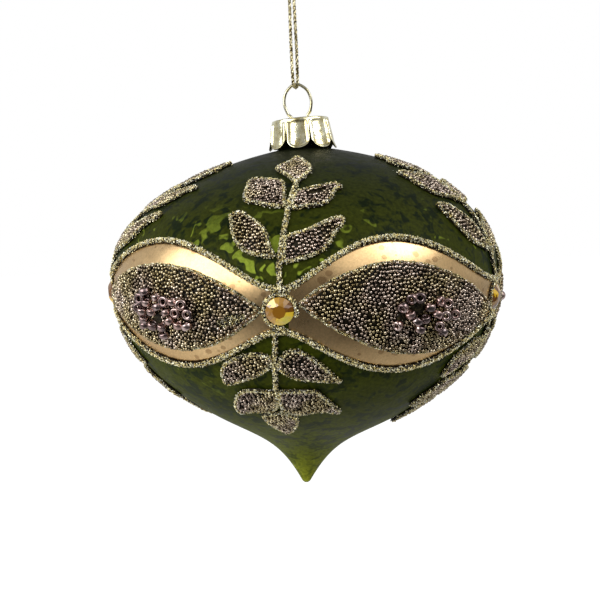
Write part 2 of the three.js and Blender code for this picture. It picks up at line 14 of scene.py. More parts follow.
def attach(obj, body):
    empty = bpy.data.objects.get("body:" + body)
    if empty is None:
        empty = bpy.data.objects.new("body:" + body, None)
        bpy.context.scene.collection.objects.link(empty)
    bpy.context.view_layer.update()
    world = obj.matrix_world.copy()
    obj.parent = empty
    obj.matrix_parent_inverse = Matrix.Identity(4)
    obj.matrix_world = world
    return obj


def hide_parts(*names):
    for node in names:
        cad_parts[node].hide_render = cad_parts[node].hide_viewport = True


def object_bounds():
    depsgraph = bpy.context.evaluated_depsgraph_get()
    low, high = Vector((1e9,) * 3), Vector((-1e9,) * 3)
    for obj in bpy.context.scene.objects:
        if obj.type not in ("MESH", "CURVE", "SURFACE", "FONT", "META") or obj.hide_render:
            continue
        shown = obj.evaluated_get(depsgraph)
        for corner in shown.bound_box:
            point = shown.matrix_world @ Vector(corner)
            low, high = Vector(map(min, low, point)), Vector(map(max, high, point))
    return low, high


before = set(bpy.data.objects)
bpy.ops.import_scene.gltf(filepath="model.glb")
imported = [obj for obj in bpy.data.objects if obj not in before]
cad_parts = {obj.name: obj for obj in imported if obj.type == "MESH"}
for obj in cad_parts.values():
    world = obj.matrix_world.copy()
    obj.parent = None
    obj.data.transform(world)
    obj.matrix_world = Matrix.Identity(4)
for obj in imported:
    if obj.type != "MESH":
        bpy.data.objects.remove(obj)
cad_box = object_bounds()

MM = 0.001
PANELS = 5
PITCH = 360 / PANELS

# Glass body, in its own frame: the origin is the centre of the ring of gems and Z is the axis
BODY_RADIUS = 49.9
WIDEST_HEIGHT = 3
TIP = (1.1, -52.25)
TIP_BOTTOM = -52.8
FLANK = (20.3, -34.9)
FLANK_SLOPE = math.radians(28.5)
TIP_SLOPE = math.radians(61)
NECK_FOOT = (7.0, 36.2)
NECK_RADIUS = 5.9
NECK_TOP = 43.25
SHOULDER_SLOPE = math.radians(10.7)
TIP_HANDLES, BELLY_HANDLES, CROWN_HANDLES = (10.9, 11.4), (16.2, 19.7), (14.8, 30.3)  # of the curves between
WALL = 1.0
LEAN = math.radians(3)  # the neck's lean to the left
LEAN_START, LEAN_END = 8, 30  # the heights between which it grows

# Cap and hanger in the body's frame, and the body where its hanger's loop hangs from the cord
CAP_TOP = 44.05
CAP_SHIFT = 0.4
LOOP_HEIGHT = 9.15
CORD_DROP = 22.5
AXIS_SHIFT = math.tan(LEAN) * ((LEAN_END - LEAN_START) / 2 + CAP_TOP - LEAN_END)
CAP_LEAN = math.radians(-5.5)
HANGER_LEAN = math.radians(-2)  # past the cap's
PLUMB_LEAN = math.radians(2.5)  # under its crooked cap the body's axis leans right of the plumb line
CAP_PLACE = Matrix.Translation((-AXIS_SHIFT - CAP_SHIFT, 0, CAP_TOP)) @ Matrix.Rotation(CAP_LEAN, 4, "Y")
HANGER_PLACE = CAP_PLACE @ Matrix.Rotation(HANGER_LEAN, 4, "Y")
BODY_PLACE = (
    Matrix.Diagonal((MM, MM, MM, 1))
    @ Matrix.Translation((0, 0, -CORD_DROP))
    @ Matrix.Rotation(PLUMB_LEAN, 4, "Y")
    @ Matrix.Translation(-(HANGER_PLACE @ Vector((0, 0, LOOP_HEIGHT))))
)

# Decorations, with the turns of panels and gems counted from the front gem
SEAT = 0.3  # the glue under a decoration
GEM_RADIUS = 3.1
PIPING_WIDTH = 1.5
PIPING_HEIGHT = 1.0
PIPING_AT_GEM = 4.4  # from the gems' level to the piping's middle
BEAD = 0.84
GRAIN = 0.45
PANEL_HALF = math.pi * BODY_RADIUS / PANELS
FIELD_HALF = 27.2
RIDGE_SIDES = 8
RIDGE_FOOT = 0.02  # how far a ridge or a pad of glue starts over the glass
MERGED = 1e-7  # vertices closer than this are one, in metres


def curve_points(points, steps):
    """Points along a cubic curve given by its four control points."""
    made = []
    for i in range(steps + 1):
        t = i / steps
        weights = ((1 - t) ** 3, 3 * t * (1 - t) ** 2, 3 * t * t * (1 - t), t ** 3)
        made.append(tuple(sum(w * p[axis] for w, p in zip(weights, points)) for axis in (0, 1)))
    return made


def glass_profile(inset, steps):
    """The glass's profile from the tip to the neck's foot, inset for the inner wall."""
    widest = BODY_RADIUS - inset
    flank = (FLANK[0] - inset * math.sin(FLANK_SLOPE), FLANK[1] + inset * math.cos(FLANK_SLOPE))
    tip = (TIP[0], TIP[1] + inset / math.cos(TIP_SLOPE))
    foot = (
        NECK_FOOT[0] - inset * math.sin(SHOULDER_SLOPE),
        NECK_FOOT[1] - inset * math.cos(SHOULDER_SLOPE),
    )

    def along(point, length, slope):
        return (point[0] + length * math.cos(slope), point[1] + length * math.sin(slope))

    def bow(start, start_slope, end, end_slope, handles):
        """A curve that leaves and meets its ends at given slopes, with handles of given lengths."""
        out, back = handles
        return curve_points((start, along(start, out, start_slope), along(end, -back, end_slope), end), steps)

    side = (widest, WIDEST_HEIGHT)
    lower = bow(tip, TIP_SLOPE, flank, FLANK_SLOPE, TIP_HANDLES)
    belly = bow(flank, FLANK_SLOPE, side, math.pi / 2, BELLY_HANDLES)
    crown = bow(side, math.pi / 2, foot, math.pi - SHOULDER_SLOPE, CROWN_HANDLES)
    return lower + belly[1:] + crown[1:]


STATIONS = glass_profile(0, 60)
DISTANCES = [0.0]
for before, after in zip(STATIONS, STATIONS[1:]):
    DISTANCES.append(DISTANCES[-1] + math.dist(before, after))
ABOVE = next(i for i, (_, height) in enumerate(STATIONS) if height > 0)
GEMS_AT = DISTANCES[ABOVE] - STATIONS[ABOVE][1]


def profile_at(up):
    """Radius, height and outward normal at a distance up the glass from the gems' level."""
    at = up + GEMS_AT
    i = min(max(bisect.bisect_right(DISTANCES, at), 1), len(STATIONS) - 1)
    (r0, z0), (r1, z1) = STATIONS[i - 1], STATIONS[i]
    share = (at - DISTANCES[i - 1]) / (DISTANCES[i] - DISTANCES[i - 1])
    length = math.dist((r0, z0), (r1, z1))
    return r0 + share * (r1 - r0), z0 + share * (z1 - z0), (z1 - z0) / length, (r0 - r1) / length


def leaned(point):
    """The point moved with the lean that the neck took as it was blown."""
    share = min(max((point.z - LEAN_START) / (LEAN_END - LEAN_START), 0), 1)
    rise = (LEAN_END - LEAN_START) * share * share / 2 + max(0, point.z - LEAN_END)
    tilt = LEAN * share
    across = point.x
    return Vector((
        across * math.cos(tilt) - math.tan(LEAN) * rise,
        point.y,
        point.z + across * math.sin(tilt),
    ))


def on_glass(turn, across, up, lift=0.0):
    """A point over the glass, in metres. It is given in millimetres from the gem at that turn, and lifted."""
    radius, height, out, rise = profile_at(up)
    angle = math.radians(turn) + across / radius
    reach = radius + lift * out
    point = Vector((reach * math.sin(angle), -reach * math.cos(angle), height + lift * rise))
    return BODY_PLACE @ leaned(point)


def toward(turn, rise):
    """The direction from the ornament to a place right of its front and over it, by angles in radians."""
    return Vector((math.sin(turn) * math.cos(rise), -math.cos(turn) * math.cos(rise), math.sin(rise)))


def placed(name, data):
    """An object for some data, in the scene."""
    made = bpy.data.objects.new(name, data)
    bpy.context.collection.objects.link(made)
    return made


def mesh_from(holder):
    """The mesh that an object's curve or modifier makes. The object itself goes."""
    depsgraph = bpy.context.evaluated_depsgraph_get()
    mesh = bpy.data.meshes.new_from_object(holder.evaluated_get(depsgraph), depsgraph=depsgraph)
    bpy.data.objects.remove(holder)
    return mesh


# Camera, fitted to the photograph
CAMERA_TURN, CAMERA_RISE = math.radians(6.5), math.radians(5.7)
CAMERA_DISTANCE = 250
PICTURE = 600  # pixels along a side
PRINCIPAL = (-6.5, -12.3)  # where the picture's centre looks, right of and over the gems' centre, in pixels


def add_camera():
    back = toward(CAMERA_TURN, CAMERA_RISE)
    turned = BODY_PLACE.to_3x3().normalized()
    z = (turned @ back).normalized()
    x = (turned @ Vector((0, 0, 1))).cross(z).normalized()
    y = z.cross(x)
    lens = bpy.data.cameras.new("camera")
    lens.lens, lens.sensor_width = 56.6, 36
    lens.shift_x, lens.shift_y = (offset / PICTURE for offset in PRINCIPAL)
    lens.clip_start = 0.01
    camera = placed("camera", lens)
    place = BODY_PLACE @ (back * CAMERA_DISTANCE)
    camera.matrix_world = Matrix.Translation(place) @ Matrix((x, y, z)).transposed().to_4x4()
    bpy.context.scene.camera = camera


add_camera()

# Cord
CORD_RADIUS = 0.44
CORD_LAY = 3.9  # the length of one twist
CORD_PLIES = 3
CORD_ROUTE = [
    (-0.58, 0, -0.3), (-0.6, -0.1, -4), (-0.62, -0.35, -9), (-0.62, -0.6, -14), (-0.56, -0.78, -18.5),
    (-0.46, -0.95, -21.6), (-0.38, -0.92, -22.6), (-0.24, -0.6, -23.22), (0, 0, -23.45),
    (0.24, 0.6, -23.22), (0.38, 0.92, -22.6), (0.46, 0.95, -21.6), (0.56, 0.78, -18.5),
    (0.62, 0.6, -14), (0.62, 0.35, -9), (0.6, 0.1, -4), (0.58, 0, -0.3),
]


def spline_point(p0, p1, p2, p3, share):
    """The point at a share of the way from p1 to p2, on a smooth line through all four."""
    return 0.5 * (2 * p1 + (p2 - p0) * share + (2 * p0 - 5 * p1 + 4 * p2 - p3) * share * share
                  + (3 * p1 - p0 - 3 * p2 + p3) * share ** 3)


def smooth_route(points, step):
    """Points about a step apart on a smooth line through the given ones, in millimetres."""
    points = [Vector(p) for p in points]
    ends = [2 * points[0] - points[1], *points, 2 * points[-1] - points[-2]]
    route = [points[0]]
    for p0, p1, p2, p3 in zip(ends, ends[1:], ends[2:], ends[3:]):
        count = max(1, round((p2 - p1).length / step))
        for i in range(1, count + 1):
            route.append(spline_point(p0, p1, p2, p3, i / count))
    return route


def route_length(route):
    return sum((b - a).length for a, b in zip(route, route[1:]))


def poly_line(name, points, dimensions="3D", **settings):
    """A curve object through points in metres."""
    data = bpy.data.curves.new(name, "CURVE")
    data.dimensions = dimensions
    data.use_fill_caps = dimensions == "3D"
    for setting, value in settings.items():
        setattr(data, setting, value)
    line = data.splines.new("POLY")
    line.points.add(len(points) - 1)
    for spot, point in zip(line.points, points):
        spot.co = (*point, 1)
    return placed(name, data)


def ply_section(radius, dip=0.42):
    """A closed outline with a lobe for each of the yarn's plies, which dips by a share between them."""
    count = CORD_PLIES * 6
    points = []
    for i in range(count):
        angle = 2 * math.pi * i / count
        reach = radius * (1 - dip * (1 - abs(math.cos(CORD_PLIES * angle / 2))))
        points.append((reach * math.cos(angle), reach * math.sin(angle), 0))
    holder = poly_line("ply_section", points, "2D")
    holder.data.splines[0].use_cyclic_u = True
    return holder


def twisted_cord(name, route, radius):
    """A mesh tube of twisted plies along a route, in millimetres."""
    section = ply_section(radius * MM)
    points = [point * MM for point in route]
    holder = poly_line(name, points, twist_mode="MINIMUM", bevel_mode="OBJECT", bevel_object=section)
    travelled = 0.0
    for i, spot in enumerate(holder.data.splines[0].points):
        travelled += (route[i] - route[i - 1]).length if i else 0
        spot.tilt = 2 * math.pi * travelled / CORD_LAY
    mesh = mesh_from(holder)
    bpy.data.objects.remove(section)
    return mesh


# Materials
class Nodes:
    """Short ways to add and join a tree's nodes."""

    def __init__(self, tree):
        self.tree = tree

    def node(self, kind, inputs=None, **settings):
        made = self.tree.nodes.new(kind)
        for key, value in settings.items():
            setattr(made, key, value)
        for key, value in (inputs or {}).items():
            self.join(made.inputs[key], value)
        return made

    def join(self, socket, value):
        """Links a socket to another one, or sets its value."""
        if isinstance(value, bpy.types.NodeSocket):
            self.tree.links.new(value, socket)
        else:
            socket.default_value = value

    def grey(self, value, low, high, from_low=0.0, from_high=1.0):
        """A value moved from one range to another."""
        return self.node("ShaderNodeMapRange", {
            "Value": value, "From Min": from_low, "From Max": from_high, "To Min": low, "To Max": high,
        }).outputs["Result"]

    def math(self, operation, first, second=0.0):
        return self.node("ShaderNodeMath", {0: first, 1: second}, operation=operation).outputs[0]


class Paint(Nodes):
    """A new material, with short ways to paint it. Sizes are millimetres on the piece."""

    def __init__(self, name, color, roughness, metallic=0.0, **sockets):
        self.material = bpy.data.materials.new(name)
        self.material.use_nodes = True
        super().__init__(self.material.node_tree)
        self.shader = self.tree.nodes["Principled BSDF"]
        self.place = self.tree.nodes.new("ShaderNodeTexCoord").outputs["Object"]
        constants = {"Base Color": (*color, 1), "Roughness": roughness, "Metallic": metallic, **sockets}
        for socket, value in constants.items():
            self.shader.inputs[socket.replace("_", " ")].default_value = value

    def set(self, socket, value):
        self.tree.links.new(value, self.shader.inputs[socket])

    def noise(self, size, detail=3.0, roughness=0.55, distortion=0.0):
        """Noise whose features are about a size."""
        return self.node("ShaderNodeTexNoise", {
            "Vector": self.place, "Scale": 1 / (size * MM), "Detail": detail,
            "Roughness": roughness, "Distortion": distortion,
        }).outputs["Fac"]

    def cells(self, size, output, place=None):
        """Cells about a size wide: the distance from each one's middle, or a colour of its own."""
        return self.node("ShaderNodeTexVoronoi", {
            "Vector": place or self.place, "Scale": 1 / (size * MM),
        }).outputs[output]

    def shades(self, size, channel):
        """A chance shade for each cell about a size wide."""
        return self.node("ShaderNodeSeparateColor", {"Color": self.cells(size, "Color")}).outputs[channel]

    def moved(self, **inputs):
        """The place on the piece, moved or stretched."""
        return self.node("ShaderNodeMapping", {"Vector": self.place, **inputs}).outputs["Vector"]

    def ramp(self, value, *stops):
        """Colours along a value. A stop is its place with a red, green and blue, or with one grey."""
        made = self.node("ShaderNodeValToRGB", {"Fac": value})
        elements = made.color_ramp.elements
        while len(elements) < len(stops):
            elements.new(0.5)
        for element, (at, *color) in zip(elements, stops):
            element.position = at
            element.color = (*(color * 3 if len(color) == 1 else color), 1)
        return made.outputs["Color"]

    def mix(self, factor, first, second, blend="MIX"):
        made = self.node("ShaderNodeMix", {0: factor}, data_type="RGBA", blend_type=blend)
        for slot, value in ((6, first), (7, second)):
            self.join(made.inputs[slot], (*value, 1) if isinstance(value, tuple) else value)
        return made.outputs[2]

    def worn(self, color, size, low, high):
        """A colour made darker and lighter by shares, in noise of a size."""
        return self.mix(1.0, color, self.grey(self.noise(size, 2), low, high, 0.3, 0.7), "MULTIPLY")

    def rough(self, value, low, high):
        """Roughness between two values, by noise."""
        self.set("Roughness", self.grey(value, low, high, 0.3, 0.7))

    def bump(self, height, depth, strength):
        """Bump of a depth."""
        made = self.node("ShaderNodeBump", {"Height": height, "Distance": depth * MM, "Strength": strength})
        self.set("Normal", made.outputs["Normal"])


def lacquered_glass():
    """Satin olive-green lacquer, mottled, near black at the neck, with painted light: lighter towards the tip
    and lime where light comes through.
    """
    paint = Paint("olive_lacquer", (0.04, 0.05, 0.01), 0.5, Specular_IOR_Level=0.05)
    height = paint.node("ShaderNodeSeparateXYZ", {"Vector": paint.place}).outputs["Z"]
    up = paint.grey(height, 0.0, 1.0, -0.129, -0.038)  # from the tip to the neck
    # Painted light: both tones are painted lighter towards the tip, where light comes through the glass, and
    # darker towards the neck.
    deep = paint.ramp(
        up, (0.0, 0.20, 0.23, 0.014), (0.08, 0.078, 0.096, 0.007), (0.2, 0.026, 0.036, 0.003),
        (0.45, 0.014, 0.024, 0.003), (0.78, 0.008, 0.014, 0.003), (0.92, 0.006, 0.010, 0.005),
        (1.0, 0.003, 0.004, 0.002),
    )
    light = paint.ramp(
        up, (0.0, 0.31, 0.34, 0.022), (0.12, 0.125, 0.145, 0.009), (0.3, 0.057, 0.068, 0.004),
        (0.55, 0.047, 0.059, 0.003), (0.78, 0.033, 0.040, 0.003), (0.92, 0.020, 0.025, 0.006),
        (1.0, 0.005, 0.006, 0.003),
    )
    clouds = paint.noise(9, 3, 0.6, 0.6)
    flecks = paint.noise(2.4, 2, 0.5, 0.8)
    patches = paint.ramp(paint.math("ADD", clouds, flecks), (0.84, 0), (1.18, 1))
    color = paint.mix(patches, deep, light)

    # Painted light: lime spots where light comes through the lacquer, most of them over the front gem
    from_middle = paint.moved(Location=(0.0098, 0.0455, 0.0628))
    apart = paint.node("ShaderNodeVectorMath", {"Vector": from_middle}, operation="LENGTH").outputs["Value"]
    near = paint.grey(apart, 0.19, 0.0, 0.006, 0.021)
    lime = paint.ramp(paint.math("ADD", paint.noise(3.0, 0.5, 0.4, 1.1), near), (0.70, 0), (0.755, 1))
    glow = paint.ramp(up, (0.30, 0.0), (0.5, 0.4), (0.68, 1.0), (0.76, 0.5), (0.84, 0.0))
    color = paint.mix(paint.math("MULTIPLY", lime, glow), color, (0.28, 0.36, 0.034))
    color = paint.worn(color, 0.8, 0.72, 1.28)
    dust = paint.ramp(paint.cells(7, "Distance"), (0.012, 0.8), (0.02, 0))
    paint.set("Base Color", paint.mix(dust, color, (0.7, 0.72, 0.62)))
    paint.rough(flecks, 0.42, 0.56)
    paint.bump(paint.noise(1.1, 3, 0.6), 0.04, 0.5)
    return paint.material


def gold_lacquer():
    """Copper-gold metallic lacquer with brown tarnish spots."""
    paint = Paint("gold_lacquer", (0.80, 0.55, 0.27), 0.3, 1.0)
    color = paint.ramp(paint.noise(16, 3, 0.5, 0.5), (0.3, 0.68, 0.45, 0.21), (0.7, 0.84, 0.59, 0.30))
    spots = paint.cells(3.0, "Distance", place=paint.moved(Scale=(1.0, 1.0, 1.35)))
    reach = paint.grey(paint.noise(7, 2, 0.5), 0.04, 0.42, 0.42, 0.68)
    marks = paint.grey(paint.math("SUBTRACT", reach, spots), 0.0, 0.6, 0.0, 0.04)
    color = paint.mix(marks, color, (0.34, 0.19, 0.08))
    paint.set("Base Color", paint.worn(color, 0.5, 0.86, 1.08))
    paint.rough(paint.noise(5, 3), 0.24, 0.36)
    paint.bump(paint.noise(6, 2, 0.5), 0.07, 0.35)
    return paint.material


def glitter():
    """Crushed-glass glitter: champagne, olive and dark grains."""
    paint = Paint("glitter_grains", (0.5, 0.42, 0.2), 0.25, 0.3)
    each = paint.shades(0.36, "Red")
    paint.set("Base Color", paint.ramp(
        each, (0.0, 0.010, 0.007, 0.002), (0.2, 0.05, 0.036, 0.008), (0.3, 0.60, 0.46, 0.13),
        (0.45, 1.0, 0.86, 0.40), (0.7, 1.0, 0.94, 0.60), (1.0, 1.0, 0.99, 0.86),
    ))
    paint.set("Roughness", paint.grey(each, 0.3, 0.12))
    return paint.material


def glue():
    """Glue with dust of glitter in it, near black: partly its own colour, partly painted shade between the
    beads.
    """
    paint = Paint("glue_with_painted_shade", (0.012, 0.009, 0.005), 0.45, Specular_IOR_Level=0.2)
    paint.set("Base Color", paint.ramp(
        paint.noise(0.7), (0.4, 0.006, 0.004, 0.002), (0.6, 0.026, 0.020, 0.008), (0.75, 0.11, 0.088, 0.034),
    ))
    paint.bump(paint.noise(0.5, 2), 0.1, 0.8)
    return paint.material


def microbeads():
    """Metallic bronze glass beads, each with its own shade, that drift from olive to mauve."""
    paint = Paint("bronze_microbeads", (0.4, 0.32, 0.22), 0.22, 1.0)
    each = paint.shades(0.75, "Green")
    paint.set("Base Color", paint.mix(
        paint.grey(paint.noise(9, 2), 0.0, 1.0, 0.42, 0.58),
        paint.ramp(each, (0.0, 0.10, 0.075, 0.032), (0.5, 0.42, 0.34, 0.18), (1.0, 0.92, 0.80, 0.52)),
        paint.ramp(each, (0.0, 0.10, 0.072, 0.055), (0.5, 0.42, 0.33, 0.26), (1.0, 0.92, 0.78, 0.66)),
    ))
    paint.set("Roughness", paint.grey(each, 0.24, 0.13))
    return paint.material


def seed_beads():
    """Metallic mauve-brown seed beads, worn lighter in spots."""
    paint = Paint("mauve_seed_beads", (0.36, 0.24, 0.23), 0.25, 1.0)
    tone = paint.ramp(
        paint.shades(2.6, "Blue"), (0.0, 0.13, 0.10, 0.10), (0.35, 0.31, 0.22, 0.21), (0.7, 0.52, 0.35, 0.31),
        (1.0, 0.66, 0.52, 0.48),
    )
    bared = paint.ramp(paint.noise(0.9, 3), (0.5, 0), (0.75, 0.45))
    paint.set("Base Color", paint.mix(bared, tone, (0.88, 0.76, 0.72)))
    paint.rough(paint.noise(0.7), 0.12, 0.28)
    return paint.material


def amber():
    """Amber facets over a mirrored back: each facet throws back light of its own depth, and the brightest
    tones are painted light on one side.
    """
    paint = Paint("amber_gem", (0.6, 0.3, 0.03), 0.15, Coat_Weight=1.0, Coat_Roughness=0.03, Coat_IOR=1.7)
    tone = paint.node("ShaderNodeAttribute", attribute_name="tone").outputs["Fac"]
    # Tones over 0.65 are painted light, for the facets of the lit side
    paint.set("Base Color", paint.ramp(
        tone, (0.0, 0.10, 0.030, 0.001), (0.35, 0.28, 0.11, 0.003), (0.65, 1.0, 0.58, 0.01),
        (1.0, 1.0, 0.86, 0.10),
    ))
    return paint.material


def thin_tinplate():
    """Bright champagne stamped sheet with faint creases and yellowed lows."""
    paint = Paint("bright_tinplate", (0.84, 0.81, 0.60), 0.16, 1.0)
    paint.set("Base Color", paint.ramp(
        paint.noise(2.0, 3), (0.34, 0.56, 0.47, 0.21), (0.5, 0.86, 0.80, 0.50), (0.66, 0.95, 0.94, 0.74),
    ))
    paint.rough(paint.noise(1.2), 0.1, 0.24)
    paint.bump(paint.noise(1.1, 3, 0.6, 0.8), 0.07, 0.8)
    return paint.material


def drawn_wire():
    """Bright drawn wire, a little brassy."""
    paint = Paint("drawn_wire", (0.72, 0.69, 0.52), 0.2, 1.0)
    tarnish = paint.noise(1.8, 3)
    paint.set("Base Color", paint.ramp(tarnish, (0.35, 0.40, 0.36, 0.20), (0.65, 0.74, 0.70, 0.52)))
    paint.bump(paint.noise(0.35, 2), 0.02, 0.4)
    return paint.material


def metallic_yarn():
    """Gold foil yarn: bright facets among dark folds."""
    paint = Paint("gold_yarn", (0.5, 0.38, 0.16), 0.36, 0.8)
    paint.set("Base Color", paint.ramp(
        paint.shades(0.42, "Red"), (0.0, 0.05, 0.035, 0.012), (0.38, 0.16, 0.12, 0.035),
        (0.5, 0.62, 0.52, 0.26), (1.0, 0.98, 0.92, 0.66),
    ))
    paint.bump(paint.noise(0.22, 2), 0.05, 0.8)
    return paint.material


FINISHES = {
    "lacquered_glass": lacquered_glass(), "gold_lacquer": gold_lacquer(), "glitter": glitter(),
    "microbeads": microbeads(), "seed_beads": seed_beads(), "gem": amber(), "cap_metal": thin_tinplate(),
    "wire": drawn_wire(), "cord": metallic_yarn(), "glue": glue(),
}


# Making pieces
def finish_piece(name, mesh, body, slot, nodes, smooth=True):
    """An object for a mesh whose place is in its vertices, riding on a body and standing for CAD nodes.

    A joined mesh with several finishes has its shading already, so smooth is None for it."""
    mesh.name = name
    if smooth is not None:
        mesh.materials.clear()
        mesh.materials.append(FINISHES[slot])
        mesh.polygons.foreach_set("use_smooth", [smooth] * len(mesh.polygons))
    piece = placed(name, mesh)
    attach(piece, body)
    if nodes:
        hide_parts(*nodes)
    return piece


def mesh_of(bm, name):
    mesh = bpy.data.meshes.new(name)
    bm.to_mesh(mesh)
    bm.free()
    return mesh


def grid(columns, rows, place, wrap_u=False, wrap_v=False):
    """A grid of quads laid out by place(u, v), where u and v run from 0 to 1. Wrapped edges are merged.

    A grid wrapped only in v is a tube, and its ends are closed."""
    bm = bmesh.new()
    bmesh.ops.create_grid(bm, x_segments=columns, y_segments=rows, size=1)
    for vert in bm.verts:
        vert.co = place((vert.co.x + 1) / 2, (vert.co.y + 1) / 2)
    if wrap_u or wrap_v:
        bmesh.ops.remove_doubles(bm, verts=bm.verts, dist=MERGED)
    if wrap_v and not wrap_u:
        bmesh.ops.holes_fill(bm, edges=[edge for edge in bm.edges if edge.is_boundary])
    bm.normal_update()
    bmesh.ops.recalc_face_normals(bm, faces=bm.faces)
    return bm


def spun(bm, steps, merged):
    """Spins an outline in the XZ plane round the Z axis, to a closed skin."""
    bmesh.ops.spin(
        bm, geom=bm.verts[:] + bm.edges[:], cent=(0, 0, 0), axis=(0, 0, 1), dvec=(0, 0, 0),
        angle=2 * math.pi, steps=steps, use_merge=True, use_duplicate=False,
    )
    bmesh.ops.remove_doubles(bm, verts=bm.verts, dist=merged)
    bmesh.ops.recalc_face_normals(bm, faces=bm.faces)


def joined_mesh(name, parts):
    """One mesh from several (mesh, finish) pairs, each keeping its finish and shading."""
    bm = bmesh.new()
    finishes = []
    for mesh, finish in parts:
        if finish not in finishes:
            finishes.append(finish)
        mesh.polygons.foreach_set("material_index", [finishes.index(finish)] * len(mesh.polygons))
        bm.from_mesh(mesh)
        bpy.data.meshes.remove(mesh)
    made = mesh_of(bm, name)
    for finish in finishes:
        made.materials.append(FINISHES[finish])
    return made


def spreader():
    """A node group that sets a copy of an object at each point, with that point's size and turn."""
    tree = bpy.data.node_groups.new("spreader", "GeometryNodeTree")
    for name, way, kind in (
        ("Points", "INPUT", "Geometry"), ("Grain", "INPUT", "Object"), ("Grains", "OUTPUT", "Geometry"),
    ):
        tree.interface.new_socket(name, in_out=way, socket_type="NodeSocket" + kind)
    nodes = Nodes(tree)
    given = nodes.node("NodeGroupInput").outputs
    turn, size = (
        nodes.node("GeometryNodeInputNamedAttribute", {"Name": name}, data_type=kind).outputs["Attribute"]
        for name, kind in (("turn", "FLOAT_VECTOR"), ("size", "FLOAT"))
    )
    copies = nodes.node("GeometryNodeInstanceOnPoints", {
        "Points": given["Points"], "Rotation": turn, "Scale": size,
        "Instance": nodes.node("GeometryNodeObjectInfo", {"Object": given["Grain"]}).outputs["Geometry"],
    })
    real = nodes.node("GeometryNodeRealizeInstances", {"Geometry": copies.outputs["Instances"]})
    nodes.node("NodeGroupOutput", {"Grains": real.outputs["Geometry"]})
    return tree


SPREADER = spreader()


def template(name, bm, smooth):
    mesh = mesh_of(bm, name)
    mesh.polygons.foreach_set("use_smooth", [smooth] * len(mesh.polygons))
    return placed(name, mesh)


def round_bead():
    bm = bmesh.new()
    bmesh.ops.create_uvsphere(bm, u_segments=8, v_segments=5, radius=MM / 2)
    return template("round_bead", bm, True)


def crushed_grain():
    bm = bmesh.new()
    bmesh.ops.create_uvsphere(bm, u_segments=4, v_segments=2, radius=MM / 2)
    bmesh.ops.scale(bm, vec=(1, 0.8, 0.6), verts=bm.verts)
    return template("crushed_grain", bm, False)


def drilled_bead():
    """A seed bead: a rounded barrel with a hole, spun from its wall's outline."""
    middle, half_wall, half_length = 0.75, 0.35, 0.66
    flat_side, flat_end = 0.75, 0.7  # powers that square the outline a little
    bm = bmesh.new()
    bmesh.ops.create_circle(bm, segments=12, radius=1)
    for vert in bm.verts:
        x, y = vert.co.x, vert.co.y
        vert.co = Vector((
            (middle + half_wall * math.copysign(abs(x) ** flat_side, x)) * MM,
            0,
            half_length * math.copysign(abs(y) ** flat_end, y) * MM,
        ))
    spun(bm, 20, MERGED)
    return template("drilled_bead", bm, True)


ROUND_BEAD = round_bead()
CRUSHED_GRAIN = crushed_grain()
DRILLED_BEAD = drilled_bead()


def strewn(name, grain, places):
    """A mesh with a copy of the grain at each place, given as (point, size, turn)."""
    bm = bmesh.new()
    for point, _, _ in places:
        bm.verts.new(point)
    points = mesh_of(bm, name)
    sizes = points.attributes.new("size", "FLOAT", "POINT")
    sizes.data.foreach_set("value", [size for _, size, _ in places])
    turns = points.attributes.new("turn", "FLOAT_VECTOR", "POINT")
    turns.data.foreach_set("vector", [part for _, _, turn in places for part in turn])
    holder = placed(name, points)
    modifier = holder.modifiers.new("spread", "NODES")
    modifier.node_group = SPREADER
    modifier[SPREADER.interface.items_tree["Grain"].identifier] = grain
    made = mesh_from(holder)
    bpy.data.meshes.remove(points)
    for attribute in [a for a in made.attributes if a.name in ("size", "turn")]:
        made.attributes.remove(attribute)
    return made


def any_turn(chance):
    return tuple(chance.uniform(0, 2 * math.pi) for _ in range(3))


# Lines and fields on the glass. A line is a list of (across, up) points from the gem at some turn.
def direction(line, i, closed):
    """The unit direction of a line at its point i."""
    count = len(line)
    before = line[(i - 1) % count] if closed or i else line[0]
    after = line[(i + 1) % count] if closed or i < count - 1 else line[-1]
    dx, dy = after[0] - before[0], after[1] - before[1]
    length = math.hypot(dx, dy) or 1
    return dx / length, dy / length


def ridge_section(v, width, height):
    """How far a ridge's skin lies to its side and over the glass, at a share v of the way round it."""
    angle = 2 * math.pi * v
    return width / 2 * math.cos(angle), height * (0.5 + 0.5 * math.sin(angle)) + RIDGE_FOOT


def ridge(turn, line, width, height, closed):
    """A low rounded ridge of glue along a line."""
    count = len(line) - (0 if closed else 1)

    def place(u, v):
        i = min(int(u * count + 1e-6), len(line) - 1) % len(line)
        (x, y), (dx, dy) = line[i], direction(line, i, closed)
        offset, lift = ridge_section(v, width, height)
        return on_glass(turn, x - dy * offset, y + dx * offset, lift)

    return mesh_of(grid(count, RIDGE_SIDES, place, closed, True), "ridge")


def resampled(line, step, closed):
    """Points about a step apart along a line."""
    points = line + [line[0]] if closed else line
    lengths = [0.0]
    for a, b in zip(points, points[1:]):
        lengths.append(lengths[-1] + math.dist(a, b))
    count = max(4, round(lengths[-1] / step))
    made = []
    for i in range(count if closed else count + 1):
        at = lengths[-1] * i / count
        k = min(max(bisect.bisect_right(lengths, at), 1), len(points) - 1)
        share = (at - lengths[k - 1]) / ((lengths[k] - lengths[k - 1]) or 1)
        (x0, y0), (x1, y1) = points[k - 1], points[k]
        made.append((x0 + share * (x1 - x0), y0 + share * (y1 - y0)))
    return made


def grain_at(point, size, chance):
    """A grain's place for strewn()."""
    return point, size * chance.uniform(0.65, 1.35), any_turn(chance)


def grain_lift(share, height, chance):
    """How far a grain lies over the glass, at a share of a ridge's half width."""
    return height * math.sqrt(max(0, 1 - share * share)) * 0.85 + chance.uniform(0.02, 0.22)


